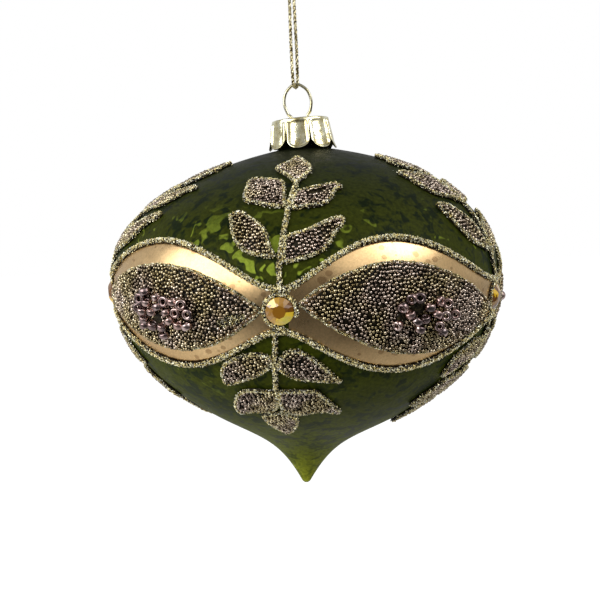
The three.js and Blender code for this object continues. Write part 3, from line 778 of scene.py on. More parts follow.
def grains_along(turn, line, width, height, closed, chance, size=GRAIN):
    """Glitter grains over a ridge: lanes along it, each grain a little out of place."""
    pitch = size * 0.8
    line = resampled(line, pitch, closed)
    lanes = max(2, round((width + height) / pitch))
    places = []
    for i, (x, y) in enumerate(line):
        dx, dy = direction(line, i, closed)
        for lane in range(lanes):
            share = (lane + chance.uniform(0.0, 1.0)) / lanes * 2 - 1
            along = chance.uniform(-0.5, 0.5) * pitch
            offset = share * width / 2
            lift = grain_lift(share, height, chance)
            point = on_glass(turn, x - dy * offset + dx * along, y + dx * offset + dy * along, lift)
            places.append(grain_at(point, size, chance))
    return places


def smooth_outline(points, step, closed=True):
    """A smooth line through a few points on the glass."""
    count = len(points)
    made = []
    for i in range(count if closed else count - 1):
        around = (k % count if closed else min(max(k, 0), count - 1) for k in range(i - 1, i + 3))
        p0, p1, p2, p3 = (Vector((*points[k], 0)) for k in around)
        steps = max(1, round((p2 - p1).length / step))
        made += [tuple(spline_point(p0, p1, p2, p3, j / steps).xy) for j in range(steps)]
    if not closed:
        made.append(tuple(points[-1]))
    return made


def inset_outline(line, by):
    """A closed line moved inwards."""
    area = sum(a[0] * b[1] - b[0] * a[1] for a, b in zip(line, line[1:] + line[:1]))
    side = by if area > 0 else -by
    made = []
    for i, (x, y) in enumerate(line):
        dx, dy = direction(line, i, True)
        made.append((x - dy * side, y + dx * side))
    return made


def inside(x, y, line):
    """Whether a point is inside a closed line."""
    odd = False
    for (x0, y0), (x1, y1) in zip(line, line[1:] + line[:1]):
        if (y0 > y) != (y1 > y) and x < x0 + (y - y0) / (y1 - y0) * (x1 - x0):
            odd = not odd
    return odd


def in_spot(x, y, spots):
    """Whether a point is in one of some round spots, given as (x, y, radius)."""
    return any(math.hypot(x - spot_x, y - spot_y) < radius for spot_x, spot_y, radius in spots)


def settled(bounds, pitch, chance, keep):
    """Points packed about a pitch apart where keep(x, y) says.

    They are dropped at random, a least distance apart, and then nudged apart like poured beads."""
    drops_per_place, rounds, least, spread, nudge = 34, 9, 0.8 * pitch, 1.04 * pitch, 0.35
    (low_x, low_y), (high_x, high_y) = bounds
    spots = []

    def cell_of(x, y):
        return int((x - low_x) / pitch), int((y - low_y) / pitch)

    def near(cells, x, y):
        i, j = cell_of(x, y)
        return [k for a in (i - 1, i, i + 1) for b in (j - 1, j, j + 1) for k in cells.get((a, b), ())]

    cells = {}
    for _ in range(int((high_x - low_x) * (high_y - low_y) / pitch ** 2 * drops_per_place)):
        x, y = chance.uniform(low_x, high_x), chance.uniform(low_y, high_y)
        if keep(x, y) and all(math.dist((x, y), spots[k]) > least for k in near(cells, x, y)):
            cells.setdefault(cell_of(x, y), []).append(len(spots))
            spots.append((x, y))
    for _ in range(rounds):
        cells = {}
        for k, (x, y) in enumerate(spots):
            cells.setdefault(cell_of(x, y), []).append(k)
        moved = []
        for x, y in spots:
            push_x = push_y = 0.0
            for other in near(cells, x, y):
                dx, dy = x - spots[other][0], y - spots[other][1]
                apart = math.hypot(dx, dy)
                if 0 < apart < spread:
                    push_x += dx / apart * (spread - apart) * nudge
                    push_y += dy / apart * (spread - apart) * nudge
            new = (x + push_x, y + push_y)
            moved.append(new if keep(*new) else (x, y))
        spots = moved
    return spots


def beads_within(turn, line, chance, bare):
    """Microbeads over the area inside a closed line, but for bare spots and a few lost beads."""
    xs, ys = zip(*line)
    bounds = ((min(xs), min(ys)), (max(xs), max(ys)))
    places = []
    for x, y in settled(bounds, BEAD, chance, lambda x, y: inside(x, y, line)):
        if chance.random() < 0.02 or in_spot(x, y, bare):
            continue
        lift = SEAT + 0.42 * BEAD + chance.uniform(0, 0.22)
        places.append((on_glass(turn, x, y, lift), BEAD * chance.uniform(0.8, 1.08), any_turn(chance)))
    return places


def pad(turn, line, lift):
    """A bed of near-black glue filling a closed line, flat on top and rounded off at its edge; its darkness
    is partly painted shade between beads.
    """
    count = len(line)
    middle_x, middle_y = (sum(parts) / count for parts in zip(*line))

    def place(u, v):
        x, y = line[round(u * count) % count]
        high = lift * math.sqrt(max(0.0, 1 - v ** 6)) + 0.01
        return on_glass(turn, middle_x + v * (x - middle_x), middle_y + v * (y - middle_y), high)

    return mesh_of(grid(count, 8, place, True, False), "pad")


# Leaf sprays, as [across, up] from the gem at their turn, and the spots that lost their beads
UPPER_STEM = [
    (0, 5.2), (-0.2, 8.6), (-0.2, 10.7), (0.3, 16.3), (0.8, 21.5), (0.9, 24.4), (1.4, 27.7), (2.1, 33.2),
]
UPPER_LEAVES = [
    [(-0.9, 11.4), (-1.9, 13.8), (-3.3, 17.6), (-4.9, 19.7), (-7.3, 21.7), (-9.4, 23.3), (-11.3, 23.0),
     (-12.6, 21.9), (-12.1, 20.1), (-11.6, 17.4), (-10.6, 15.0), (-9.1, 13.1), (-7.0, 11.9), (-4.3, 11.3),
     (-2.2, 10.9)],
    [(0.2, 10.1), (2.1, 10.0), (4.2, 10.5), (6.5, 11.1), (8.3, 11.9), (9.8, 13.0), (10.8, 14.3),
     (11.6, 16.1), (12.4, 17.5), (13.5, 18.7), (13.7, 19.9), (12.8, 21.0), (11.0, 20.9), (8.9, 20.0),
     (6.4, 18.6), (4.3, 17.7), (2.2, 17.0), (0.7, 16.2), (0.4, 14.0)],
    [(0.5, 23.8), (0.2, 27.8), (0, 30.4), (-0.5, 33.0), (-1.3, 34.2), (-3.2, 34.9), (-5.7, 35.7),
     (-7.7, 35.9), (-9.5, 34.9), (-9.8, 31.7), (-10.0, 29.2), (-9.7, 27.0), (-8.5, 25.7), (-6.3, 25.1),
     (-4.0, 24.3), (-1.7, 23.9)],
    [(1.4, 23.2), (5.3, 23.6), (7.2, 23.7), (8.9, 24.3), (10.2, 25.5), (11.0, 27.1), (11.0, 28.5),
     (11.6, 29.4), (12.7, 29.3), (12.5, 30.7), (11.5, 32.0), (9.9, 32.1), (7.9, 31.4), (5.7, 31.0),
     (4.0, 30.1), (2.3, 29.5), (1.6, 27.0)],
    [(2.0, 32.3), (3.0, 33.6), (3.8, 34.9), (4.4, 36.5), (5.2, 38.0), (5.1, 40.4), (4.4, 42.8),
     (3.2, 45.1), (2.1, 47.3), (1.0, 48.4), (0.1, 47.7), (-0.6, 45.8), (-1.6, 44.1), (-2.9, 42.6),
     (-3.8, 40.8), (-3.0, 39.1), (-1.4, 37.0), (0.2, 34.8)],
]
UPPER_BARE = [(5.4, 28.1, 0.7), (7.6, 29.2, 0.75), (6.6, 28.6, 0.5)]
LOWER_STEM = [
    (-1.2, -5.4), (-1.2, -7.5), (-1.4, -9.9), (-1.7, -12.4), (-1.7, -15.2), (-1.9, -18.3), (-1.9, -20.6),
    (-1.4, -23.6), (-1.2, -26.9), (-1.4, -29.9),
]
LOWER_LEAVES = [
    [(-1.6, -10.6), (-2.7, -10.2), (-3.7, -9.6), (-5.5, -9.4), (-7.5, -9.7), (-9.6, -10.4),
     (-11.6, -11.3), (-13.1, -12.3), (-14.1, -13.8), (-14.6, -15.6), (-14.6, -17.4), (-14.1, -19.0),
     (-12.9, -19.5), (-11.3, -19.0), (-9.3, -18.0), (-7.0, -17.0), (-5.1, -15.8), (-3.7, -14.7),
     (-2.7, -13.8), (-1.7, -12.7)],
    [(-1.6, -13.5), (-1.2, -13.8), (-0.2, -14.9), (1.1, -15.9), (2.5, -16.6), (4.2, -17.0), (6.4, -17.2),
     (8.6, -17.5), (10.8, -17.6), (12.5, -17.8), (13.2, -17.2), (11.9, -16.1), (10.7, -14.5),
     (9.4, -12.9), (8.2, -11.6), (6.8, -10.3), (5.3, -9.3), (4.1, -8.6), (2.4, -8.2), (1.1, -8.8),
     (-0.5, -10.6), (-1.2, -11.6)],
    [(-1.5, -20.6), (-2.2, -20.3), (-5.6, -20.2), (-7.9, -20.2), (-9.6, -20.7), (-11.3, -22.2),
     (-12.4, -24.4), (-13.0, -26.7), (-13.1, -29.2), (-12.4, -31.1), (-11.1, -31.4), (-9.1, -30.4),
     (-7.3, -29.8), (-5.8, -29.8), (-2.8, -28.5), (-1.6, -25.6)],
    [(-1.5, -20.6), (-1.8, -27.4), (-0.8, -28.8), (0.3, -29.7), (2.0, -30.2), (3.9, -30.2), (6.0, -29.2),
     (8.3, -29.0), (9.9, -29.6), (11.5, -30.1), (12.2, -28.6), (11.2, -26.6), (10.2, -24.8), (9.1, -22.7),
     (8.1, -21.2), (7.3, -20.1), (5.6, -19.8), (3.4, -19.9), (1.2, -20.0)],
    [(-1.5, -28.9), (-4.4, -30.2), (-6.7, -31.1), (-6.4, -33.9), (-5.5, -36.7), (-4.6, -38.6),
     (-3.4, -40.7), (-2.4, -43.1), (-1.1, -42.4), (0.3, -40.6), (1.3, -37.5), (2.0, -34.2), (2.0, -31.8),
     (1.1, -30.8), (-0.2, -29.8)],
]
LOWER_BARE = [(-10.3, -15.8, 0.6), (-10.6, -27.6, 0.6)]
RIM_WIDTH = 1.35
RIM_HEIGHT = 0.95
STEM_WIDTH = 1.2
# A spray's habit: how far its left and right leaves reach beside the front one's, and its stem's lean
FRONT_HABIT = (1.0, 1.0, 0.0)
HABITS = {2: (1.12, 1.0, -0.045), 5: (1.0, 1.3, 0.08)}


def spray(name, turn, stem, leaves, bare, chance, loose, habit=FRONT_HABIT):
    """A stem with its leaves: glitter rims and stem, and beads inside the rims."""
    left, right, lean = habit
    foot = stem[0][1]
    beads, grains, glued = [], [], []

    def grown(x, y):
        """A point of the front spray's leaves as it lies in this spray."""
        reach = left if x < 0 else right
        return reach * x + lean * (y - foot), y + 0.6 * (reach - 1) * abs(x)

    stem_line = smooth_outline([(x + lean * (y - foot), y) for x, y in stem], 0.8, closed=False)
    glued.append((ridge(turn, stem_line, STEM_WIDTH, 0.7, False), "glue"))
    grains += grains_along(turn, stem_line, STEM_WIDTH, 0.85, False, chance)
    for outline in leaves:
        shaken = [
            (x + chance.uniform(-loose, loose), y + chance.uniform(-loose, loose))
            for x, y in (grown(*point) for point in outline)
        ]
        edge = smooth_outline(shaken, 0.7)
        rim = resampled(inset_outline(edge, RIM_WIDTH * 0.42), 0.7, True)
        glued.append((pad(turn, rim, SEAT + 0.1), "glue"))
        glued.append((ridge(turn, rim, RIM_WIDTH * 0.7, RIM_HEIGHT * 0.75, True), "glue"))
        grains += grains_along(turn, rim, RIM_WIDTH * 0.72, RIM_HEIGHT, True, chance)
        beads += beads_within(turn, inset_outline(edge, RIM_WIDTH * 0.82), chance, bare)
    finish_piece(name + "_beads", strewn("beads", ROUND_BEAD, beads), "glass", "microbeads", [name])
    made = joined_mesh(name, [(strewn("grains", CRUSHED_GRAIN, grains), "glitter"), *glued])
    finish_piece(name + "_glitter", made, "glass", "glitter", [name], smooth=None)


# Panels, each drawn one by one. A line's crest is (how far it swells from the gems' level, where along the
# panel). The lines are the pipings above and below, then the bead field's top and foot. Last comes the
# field's rise along the panel.
PANEL_LINES = [
    ((14.7, -6), (14.1, -2.5), (9.9, -3.6), (10.8, 1), -0.055),
    ((14.9, 3), (14.4, -2), (10.2, 2), (10.3, -1), 0.02),
    ((14.5, -2), (14.0, 1), (9.9, -1), (10.0, 2), -0.02),
    ((14.8, 1), (14.3, 3), (10.1, 0), (10.2, 3), 0.03),
    ((14.4, 0.2), (13.8, 3.5), (9.1, 1.6), (10.4, 4.2), 0.0),
]


def swell_share(x, half, crest):
    share = x / half
    return math.cos(math.pi / 2 * min(max(share - crest / half * (1 - share * share), -1), 1))


def piping_reach(side, degrees):
    """How far the piping runs from the gems' level, at a turn."""
    panel, along = divmod(degrees % 360, PITCH)
    swell, crest = PANEL_LINES[int(panel)][0 if side > 0 else 1]
    x = (2 * along / PITCH - 1) * PANEL_HALF
    return math.hypot(PIPING_AT_GEM, swell * swell_share(x, PANEL_HALF, crest))


def panel_turn_at(turn, x):
    return turn + math.degrees(x / BODY_RADIUS)


def piping(side, chance):
    """The wavy line of glitter over the panels or under them: a ridge of glue, and lanes of grains on it."""
    name = "upper_piping" if side > 0 else "lower_piping"

    def place(u, v):
        offset, lift = ridge_section(v, PIPING_WIDTH * 0.72, PIPING_HEIGHT * 0.75)
        return on_glass(360 * u, 0, side * piping_reach(side, 360 * u) + offset, lift)

    glued = mesh_of(grid(460, RIDGE_SIDES, place, True, True), "ridge")
    pitch = GRAIN * 0.78
    pitch_turn = math.degrees(pitch / BODY_RADIUS)
    places = []
    degrees = 0.0
    while degrees < 360:
        middle = side * piping_reach(side, degrees)
        slope = (side * piping_reach(side, degrees + 0.5) - middle) / (math.radians(0.5) * BODY_RADIUS)
        longer = math.hypot(1, slope)
        near_gem = math.exp(-((((degrees + PITCH / 2) % PITCH) - PITCH / 2) / 4) ** 2)
        width = PIPING_WIDTH * (1 + 0.2 * near_gem) * chance.uniform(0.88, 1.12) * longer
        lanes = round((width + PIPING_HEIGHT) / pitch)
        for lane in range(lanes):
            share = (lane + chance.uniform(0, 1)) / lanes * 2 - 1
            lift = grain_lift(share, PIPING_HEIGHT, chance)
            at = degrees + chance.uniform(-0.5, 0.5) * pitch_turn
            point = on_glass(at, 0, middle + side * 0.08 + share * (width / 2 - 0.14), lift)
            places.append(grain_at(point, GRAIN, chance))
        degrees += pitch_turn / longer
    made = joined_mesh(name, [(strewn(name, CRUSHED_GRAIN, places), "glitter"), (glued, "glue")])
    finish_piece(name + "_glitter", made, "glass", "glitter", [name], smooth=None)


def gold_panel(number, turn):
    """The almond of gold lacquer that reaches under the piping and the bead field."""
    half = PANEL_HALF - GEM_RADIUS * 0.6

    def place(u, v):
        degrees = panel_turn_at(turn, half * math.sin(math.pi * (u - 0.5)))
        up = piping_reach(1, degrees) * v - piping_reach(-1, degrees) * (1 - v)
        return on_glass(degrees, 0, up, 0.12)

    bm = grid(72, 24, place)
    bmesh.ops.solidify(bm, geom=bm.faces[:], thickness=0.1 * MM)
    node = f"gold_band_{number}"
    finish_piece(f"gold_almond_{number}", mesh_of(bm, "almond"), "glass", "gold_lacquer", [node])


FIELD_BARE = [(18.2, -3.0, 1.1), (19.8, -2.5, 1.1), (21.4, -2.0, 1.0), (23, -1.5, 0.8)]  # on the last panel
FIELD_BARE_BOUNDS = ((16, -5), (25, 0))


def bead_field(number, turn, chance):
    """A field of microbeads in glue with a thin rim of glitter, and one field's patch that lost its beads."""
    *_, top, foot, tilt = PANEL_LINES[number - 1]
    steps = 70
    edge = []
    for side, (swell, crest) in ((1, top), (-1, foot)):
        for i in range(steps):
            x = -side * FIELD_HALF * math.cos(math.pi * i / steps)
            up = tilt * x + side * swell * swell_share(x, FIELD_HALF, crest) ** 0.85
            across = x * profile_at(up)[0] / BODY_RADIUS
            edge.append((across + chance.uniform(-0.15, 0.15), up + chance.uniform(-0.15, 0.15)))
    rim = resampled(edge, 0.6, True)
    bare = FIELD_BARE if number == PANELS else []
    beads = strewn("beads", ROUND_BEAD, beads_within(turn, inset_outline(rim, 0.35), chance, bare))
    places = grains_along(turn, rim, 0.55, 0.45, True, chance, 0.34)
    places += [
        (on_glass(turn, x, y, SEAT + 0.3), 0.4 * chance.uniform(0.7, 1.3), any_turn(chance))
        for x, y in settled(FIELD_BARE_BOUNDS, 0.4, chance, lambda x, y: in_spot(x, y, bare))
    ]
    name = f"bead_field_{number}"
    made = joined_mesh(name, [
        (beads, "microbeads"), (strewn("grains", CRUSHED_GRAIN, places), "glitter"),
        (pad(turn, rim, SEAT + 0.1), "glue"), (ridge(turn, rim, 0.6, 0.4, True), "glue"),
    ])
    finish_piece(name + "_beads", made, "glass", "microbeads", [name], smooth=None)


# Seed beads, as (across, up, the angle their hole is tipped from the glass, the way it is tipped)
RIGHT_CLUSTER = [
    (-3.1, 2.3, 52, 205), (-1.0, 2.4, 34, 180), (-5.1, 0.6, 60, 215), (4.4, 1.4, 15, 0),
    (6.8, 0.8, 38, 180), (1.7, 0.2, 88, 90), (-3.3, -0.9, 80, 120), (3.9, -1.4, 88, 60),
    (6.3, -1.8, 36, 180), (9.4, -1.8, 42, 180), (-1.4, -2.5, 80, 60), (0.8, -2.2, 80, 110),
    (-5.7, -3.3, 60, 200), (-0.5, -4.2, 84, 80), (4.7, -3.9, 28, 190), (6.3, -5.5, 78, 230),
]
LEFT_CLUSTER = [
    (-1.9, 2.8, 84, 110), (-3.8, 1.2, 20, 0), (-1.7, 0.5, 84, 70), (-4.6, -0.8, 45, 350),
    (-3.4, -1.5, 86, 80), (1.4, 1.8, 80, 90), (2.4, -0.1, 88, 110), (0.0, -1.4, 86, 80),
    (4.3, 1.1, 12, 0), (6.6, 1.2, 86, 80), (9.1, 0.8, 30, 0), (4.5, -1.2, 86, 110), (7.3, -1.1, 14, 0),
    (10.8, -1.1, 12, 0), (-3.0, -3.2, 84, 60), (-3.5, -4.7, 86, 100), (-0.6, -4.5, 86, 60),
    (5.3, -2.9, 78, 120), (2.5, -4.6, 86, 70), (7.7, -3.7, 86, 80), (10.1, -3.7, 84, 110),
    (2.2, -6.5, 70, 90),
]
SUNK = ((-5.7, -3.3), (1.4, 1.8), (2.2, -6.5))
GLUE_SPOTS = [[(-0.6, 0.2, 2.3), (-4.6, -1.9, 1.6)], [(0.5, -3.0, 2.0), (2.4, -4.8, 1.6)]]


def seed_cluster(number, turn, chance):
    """Seed beads in spots of near-black glue on the bead field, partly painted shade among them. Hidden
    panels have mirrored or turned clusters.
    """
    left = number in (4, 5)
    flip_x = -1 if number in (2, 4) else 1
    flip_y = -1 if number == 3 else 1

    def spot_at(x, y, lift=0.0):
        return on_glass(turn, flip_x * x, flip_y * y, lift)

    places = []
    for x, y, tip, heading in LEFT_CLUSTER if left else RIGHT_CLUSTER:
        lift = SEAT + BEAD * 0.62 + (0.5 if (x, y) in SUNK else chance.uniform(0.85, 1.25))
        point = spot_at(x, y, lift)
        outward = (point - spot_at(x, y)).normalized()
        across = (on_glass(turn, flip_x * x + 1, flip_y * y, lift) - point).normalized() * flip_x
        upward = outward.cross(across)
        tip, heading = math.radians(tip), math.radians(heading)
        aside = across * math.cos(heading) + upward * math.sin(heading)
        axis = outward * math.cos(tip) + aside * math.sin(tip)
        places.append((point, chance.uniform(1.08, 1.24), tuple(axis.to_track_quat("Z", "Y").to_euler())))
    parts = [(strewn("seeds", DRILLED_BEAD, places), "seed_beads")]
    for x, y, radius in GLUE_SPOTS[left]:
        spot = [
            (flip_x * x + radius * chance.uniform(0.8, 1.15) * math.cos(math.pi * i / 12),
             flip_y * y + radius * chance.uniform(0.7, 1.0) * math.sin(math.pi * i / 12)) for i in range(24)
        ]
        parts.append((pad(turn, spot, SEAT + BEAD * 1.1), "glue"))
    name = f"seed_beads_{number}"
    finish_piece(name + "_cluster", joined_mesh(name, parts), "glass", "seed_beads", [name], smooth=None)


def gem_ring(turn, bare, chance):
    """Glitter round most of a gem. It is missing between two angles, which are shares of a turn."""
    radius = GEM_RADIUS + 0.5
    start, end = bare
    steps = 40
    ring = []
    for i in range(steps + 1):
        angle = 2 * math.pi * (end + (1 - end + start) * i / steps)
        ring.append((radius * math.cos(angle), radius * math.sin(angle)))
    return grains_along(turn, ring, 0.95, 0.75, False, chance), ridge(turn, ring, 0.8, 0.55, False)


GEM_FACETS = 16
GEM_CROWN = (0.85, 0.5)  # how far in the crown's facets reach, and how far up
GEM_STEP = (0.75, 0.42)  # the same for the facets round the table


def cut_gem():
    """A gem's mesh at its own origin: a girdle, two rings of facets and a table."""
    bm = bmesh.new()
    bmesh.ops.create_cone(
        bm, segments=GEM_FACETS, radius1=GEM_RADIUS, radius2=GEM_RADIUS * 0.985, depth=0.3, cap_ends=True,
    )
    top = max(bm.faces, key=lambda face: face.calc_center_median().z)
    for inset, rise in (GEM_CROWN, GEM_STEP):
        bmesh.ops.inset_region(bm, faces=[top], thickness=inset, depth=rise)
    for vert in bm.verts:
        angle = math.atan2(vert.co.y, vert.co.x)
        radius = math.hypot(vert.co.x, vert.co.y)
        odd = round(angle / (2 * math.pi / GEM_FACETS)) % 2
        if odd and 1.9 < radius < 2.6:
            vert.co.z += 0.1
        if odd and radius < 1.9:
            vert.co.x *= 0.93
            vert.co.y *= 0.93
    bmesh.ops.triangulate(bm, faces=[face for face in bm.faces if len(face.verts) == 4])
    return bm


def gem(number, turn, chance):
    """A gem in a ring of glitter. Its facets carry painted light: brightest on one side, and a little lit on
    the other.
    """
    bm = cut_gem()
    tone = bm.faces.layers.float.new("tone")
    # The side whose facets get painted light
    bright = math.radians(-52) if number == 1 else chance.uniform(-math.pi, math.pi)
    depths = [chance.uniform(0.12, 0.5) for _ in range(GEM_FACETS)]
    table_reach, crown_reach = 0.3, 1.2
    for face in bm.faces:
        middle = face.calc_center_median()
        angle = math.atan2(middle.y, middle.x)
        apart = abs((angle - bright + math.pi) % (2 * math.pi) - math.pi)
        reach = math.hypot(middle.x, middle.y)
        facet = int((angle + math.pi) / (2 * math.pi / GEM_FACETS)) % GEM_FACETS
        face[tone] = 0.36 if reach < table_reach else depths[facet]
        # Painted light: facets on the lit side are painted bright, and those opposite a little lit
        if apart < 0.95 and reach > crown_reach:
            face[tone] = 1.0 - 0.3 * apart
        elif apart > math.pi - 0.35 and reach > crown_reach:
            face[tone] = 0.7
    radius, _, out, rise = profile_at(0)
    lift = SEAT + GEM_RADIUS ** 2 / (2 * BODY_RADIUS) + 0.15  # its middle stands off the glass's curve
    seat = (
        Matrix.Rotation(math.radians(turn), 4, "Z")
        @ Matrix.Translation((0, -radius - lift * out, lift * rise))
        @ Matrix.Rotation(math.pi / 2 - math.asin(rise), 4, "X")
    )
    bmesh.ops.transform(bm, matrix=BODY_PLACE @ seat, verts=bm.verts)
    finish_piece(f"gem_{number}_amber", mesh_of(bm, "gem"), "glass", "gem", [f"gem_{number}"], smooth=False)
    gap = (-0.22, -0.05) if number == 1 else (0.0, chance.uniform(0.05, 0.15))
    grains, glued = gem_ring(turn, gap, chance)
    ring = joined_mesh("ring", [(strewn("ring", CRUSHED_GRAIN, grains), "glitter"), (glued, "glue")])
    finish_piece(f"gem_{number}_ring", ring, "glass", "glitter", [], smooth=None)


def glass_body():
    """The blown glass: one outline, outside and inside, spun round its axis and leaned at the neck."""
    bore_radius = NECK_RADIUS - WALL
    inner = glass_profile(WALL, 12)
    outline = [
        (0.0, TIP_BOTTOM), (0.6, TIP_BOTTOM + 0.12), *glass_profile(0, 36),
        (6.2, NECK_FOOT[1] + 0.55), (NECK_RADIUS, NECK_FOOT[1] + 1.6), (NECK_RADIUS, NECK_TOP - 0.5),
        (NECK_RADIUS - 0.15, NECK_TOP - 0.1), (NECK_RADIUS - 0.5, NECK_TOP),
        (NECK_RADIUS - 0.85, NECK_TOP - 0.1), (bore_radius, NECK_TOP - 0.5), (bore_radius, NECK_FOOT[1]),
        *inner[-2::-1], (0.0, inner[0][1]),
    ]
    bm = bmesh.new()
    verts = [bm.verts.new((radius, 0, height)) for radius, height in outline]
    for pair in zip(verts, verts[1:]):
        bm.edges.new(pair)
    spun(bm, 160, 1e-5)
    for vert in bm.verts:
        vert.co = BODY_PLACE @ leaned(vert.co)
    finish_piece("blown_glass", mesh_of(bm, "glass"), "glass", "lacquered_glass", ["glass_body"])


def cap():
    """The stamped cap: a flat top, a rounded edge and eight petals with raised rims."""
    petals, across, down = 8, 24, 30  # petals, and the columns and rows of faces on each
    top_rows, edge_rows = 5, 4
    edge, bend, collar, length = 7.4, 0.4, 1.3, 7.5
    flare, rim_rise, dish_depth, crease_depth, crease_size = 1.2, 0.3, 0.12, 0.07, 1.8
    side_end, half_width = 0.92, 2.85  # a petal ends at this share of its sector, and is this wide

    def petal_point(side, sector, share):
        """The radius and depth of the skirt: a share of the way down, at a side share of its petal."""
        round_end = 2.7 * (1 - math.sqrt(1 - 0.97 * min(side / side_end, 1) ** 2))
        long = length + 0.4 + 0.4 * math.sin(2 * math.pi * sector / petals)
        reach = collar if side > side_end + 0.01 else long - round_end
        depth = bend + (reach - bend) * share
        to_edge = min((side_end - side) * half_width, (long - round_end - depth) * 1.1)
        deep = min(1, max(0, depth - 0.7) / 0.5)
        rim = math.exp(-((to_edge - 0.28) / 0.24) ** 2) * deep
        dish = min(1, max(0, to_edge - 0.5) / 0.3) * deep
        return edge + flare * max(0, depth - bend) / length + rim_rise * rim - dish_depth * dish, depth

    def place(u, v):
        sector, column = divmod(u * petals * across + across / 2, across)
        column = column / across * 2 - 1
        within = min(abs(column) / (1 - 2 / across), 1)
        side = side_end * math.sin(math.pi / 2 * within) if within < 1 or abs(column) < 0.99 else abs(column)
        angle = 2 * math.pi * (sector + math.copysign(side, column) / 2) / petals
        row = v * (top_rows + edge_rows + down)
        if row <= top_rows:
            radius, height = max((edge - bend) * row / top_rows, 0.01), 0.0
        elif row <= top_rows + edge_rows:
            turned = math.pi / 2 * (row - top_rows) / edge_rows
            radius, height = edge - bend + bend * math.sin(turned), -bend * (1 - math.cos(turned))
        else:
            radius, depth = petal_point(side, sector, (row - top_rows - edge_rows) / down)
            height = -depth
        spot = Vector((radius * math.sin(angle), radius * math.cos(angle), height))
        crease = crease_depth * noise.noise(spot / crease_size)
        if row > top_rows:
            radius += crease
        else:
            height += crease
        return Vector((radius * math.sin(angle), -radius * math.cos(angle), height)) * MM

    bm = grid(petals * across, top_rows + edge_rows + down, place, True, False)
    bmesh.ops.solidify(bm, geom=bm.faces[:], thickness=0.3 * MM)
    bmesh.ops.transform(bm, matrix=BODY_PLACE @ CAP_PLACE @ Matrix.Scale(1 / MM, 4), verts=bm.verts)
    finish_piece("cap_petals", mesh_of(bm, "cap"), "cap", "cap_metal", ["cap"])


def hanger_wire():
    """The bent wire: a loop over the cap and two legs in the neck."""
    half = [(3.0, -15), (2.4, -7.5), (1.9, -0.2), (2.975, 1.89), (3.525, 4.5), (2.675, 7.38)]
    bends = [(x, 0, z) for x, z in half] + [(0, 0, LOOP_HEIGHT)] + [(-x, 0, z) for x, z in reversed(half)]
    points = [BODY_PLACE @ HANGER_PLACE @ point for point in smooth_route(bends, 0.35)]
    mesh = mesh_from(poly_line("wire", points, bevel_depth=0.38 * MM, bevel_resolution=4))
    finish_piece("hanger_loop_and_legs", mesh, "hanger", "wire", ["hanger_wire"])


def cord_and_knot():
    """The doubled strand round the wire, and the knot: wraps round the strands, which end in two tails."""
    route = smooth_route(CORD_ROUTE, 0.22)
    mesh = twisted_cord("strand", route, CORD_RADIUS)
    strand = finish_piece("doubled_strand", mesh, "cord", "cord", ["hanging_cord"])
    coils, coil_steps, coil_radius, foot, rise = 3.2, 16, 0.98, 1.24, 3.0
    wraps = []
    for i in range(int(coils * coil_steps) + 1):
        angle = 2 * math.pi * i / coil_steps
        height = foot + rise * i / (coils * coil_steps)
        wraps.append((coil_radius * math.cos(angle), coil_radius * math.sin(angle), height))
    parts = [twisted_cord("wraps", smooth_route(wraps, 0.3), CORD_RADIUS)]
    for side in (-1, 1):
        tail = [
            (side * 0.58, 0, -0.34), (side * 0.52, 0.03, 0.9), (side * 0.46, 0.05, 2.5),
            (side * 0.5, 0.1, 4.2), (side * 0.7, 0, 4.8), (side * 1.5, side * 0.6, 7.2),
            (side * 2.2, side * 0.4, 8.9),
        ]
        parts.append(twisted_cord("tail", smooth_route(tail, 0.3), CORD_RADIUS * 0.95))
    mesh = joined_mesh("knot", [(part, "cord") for part in parts])
    knot = finish_piece("wrapped_knot", mesh, "loop_knot", "cord", ["cord_knot"])
    route_length(route) * MM


# Light, in metres and degrees, with turns to the right of the front gem
LAMP_DISTANCE = 0.7
LAMPS = (  # turn, rise, width, height, power
    ("left_window", -49, 21, 0.72, 0.43, 3.75),
    ("right_window", 72, 37, 0.37, 0.35, 1.75),
    ("right_wall", 40, 32, 0.36, 0.36, 0.36),
)
PLAIN_LIGHT = 0.38  # the surround's light on what isn't mirror-like
FLOOR_DROP = 0.16
FLOOR_HALF = 3


def add_lamps():
    for name, turn, rise, width, height, power in LAMPS:
        lamp = bpy.data.lights.new(name, "AREA")
        lamp.shape = "RECTANGLE"
        lamp.size, lamp.size_y = width, height
        lamp.energy = power
        back = toward(math.radians(turn), math.radians(rise))
        facing = back.to_track_quat("Z", "Y").to_matrix().to_4x4()
        middle = BODY_PLACE.translation + LAMP_DISTANCE * back
        placed(name, lamp).matrix_world = Matrix.Translation(middle) @ facing


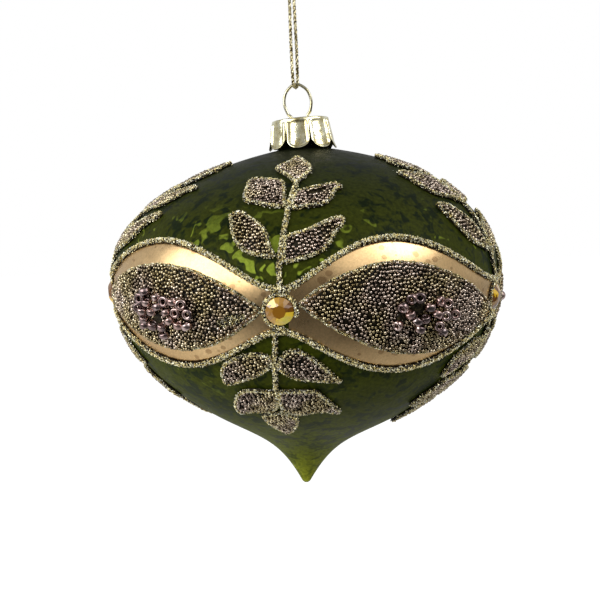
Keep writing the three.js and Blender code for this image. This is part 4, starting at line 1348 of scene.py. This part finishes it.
def add_surround():
    """White to the camera, plain light on the pieces, and for reflections a room: lit behind the ornament,
    darker towards its ceiling, with the table's light low in front."""
    world = bpy.data.worlds.new("studio")
    bpy.context.scene.world = world
    world.use_nodes = True
    nodes = Nodes(world.node_tree)
    rays = nodes.node("ShaderNodeLightPath").outputs
    direction_seen = nodes.node("ShaderNodeTexCoord").outputs["Generated"]
    way = nodes.node("ShaderNodeSeparateXYZ", {"Vector": direction_seen}).outputs
    room, front = (
        nodes.math("MULTIPLY", nodes.grey(way["Y"], *across), nodes.grey(way["Z"], *upward))
        for across, upward in (
            ((0.13, 0.7, -0.95, 0.95), (1.0, 0.4, 0.4, 0.95)), ((1.0, 0.0, -0.6, -0.1), (0.0, 0.4, 0.1, 0.6)),
        )
    )
    seen = nodes.math("ADD", rays["Is Glossy Ray"], rays["Is Transmission Ray"])
    seen = nodes.math("MINIMUM", seen, 1.0)
    mirrored = nodes.math("MULTIPLY", seen, nodes.math("ADD", room, front))
    plain = nodes.math("MULTIPLY", nodes.math("SUBTRACT", 1.0, seen), PLAIN_LIGHT)
    camera = rays["Is Camera Ray"]
    unseen = nodes.math("SUBTRACT", 1.0, camera)
    strength = nodes.math("ADD", nodes.math("MULTIPLY", nodes.math("ADD", mirrored, plain), unseen), camera)
    background = nodes.tree.nodes["Background"]
    nodes.join(background.inputs["Strength"], strength)
    background.inputs["Color"].default_value = (1, 1, 1, 1)


def add_floor():
    """A floor under the ornament, white to the camera, with painted light and shade for reflections: dark in
    front and pale behind.
    """
    bm = bmesh.new()
    bmesh.ops.create_grid(bm, x_segments=1, y_segments=1, size=FLOOR_HALF)
    bmesh.ops.translate(bm, vec=(0, 0, cad_box[0].z - FLOOR_DROP), verts=bm.verts)
    floor = placed("floor", mesh_of(bm, "floor"))
    paint = Paint("pale_floor", (0.8, 0.8, 0.8), 0.9)
    spot = paint.node("ShaderNodeSeparateXYZ", {"Vector": paint.place}).outputs
    along = paint.math("SUBTRACT", spot["Y"], paint.math("MULTIPLY", spot["X"], 0.5))
    # Painted light and shade: the colour runs from dark in front to pale behind, for what the pieces reflect
    paint.set("Base Color", paint.grey(along, 0.06, 0.85, -0.33, 0.03))
    glow = paint.node("ShaderNodeEmission", {"Color": (1, 1, 1, 1), "Strength": 1.26})
    camera = paint.node("ShaderNodeLightPath").outputs["Is Camera Ray"]
    blend = paint.node("ShaderNodeMixShader", {
        "Fac": paint.math("MULTIPLY", camera, 0.8), 1: paint.shader.outputs[0], 2: glow.outputs[0],
    })
    paint.join(paint.tree.nodes["Material Output"].inputs["Surface"], blend.outputs[0])
    floor.data.materials.append(paint.material)


cord_and_knot()
hanger_wire()
cap()
glass_body()
for side in (1, -1):
    piping(side, random.Random(40 + side))
for number in range(1, PANELS + 1):
    gem_turn = PITCH * (number - 1)
    panel_turn = gem_turn + PITCH / 2
    chance = random.Random(number)
    loose = 0.0 if number == 1 else 0.35
    habit = HABITS.get(number, FRONT_HABIT)
    spray(f"upper_spray_{number}", gem_turn, UPPER_STEM, UPPER_LEAVES, UPPER_BARE, chance, loose, habit)
    spray(f"lower_spray_{number}", gem_turn, LOWER_STEM, LOWER_LEAVES, LOWER_BARE, chance, loose)
    gem(number, gem_turn, chance)
    gold_panel(number, panel_turn)
    bead_field(number, panel_turn, chance)
    seed_cluster(number, panel_turn, chance)
for holder in (ROUND_BEAD, CRUSHED_GRAIN, DRILLED_BEAD):
    bpy.data.objects.remove(holder)
add_surround()
add_lamps()
add_floor()
bpy.context.scene.view_settings.view_transform = "Standard"
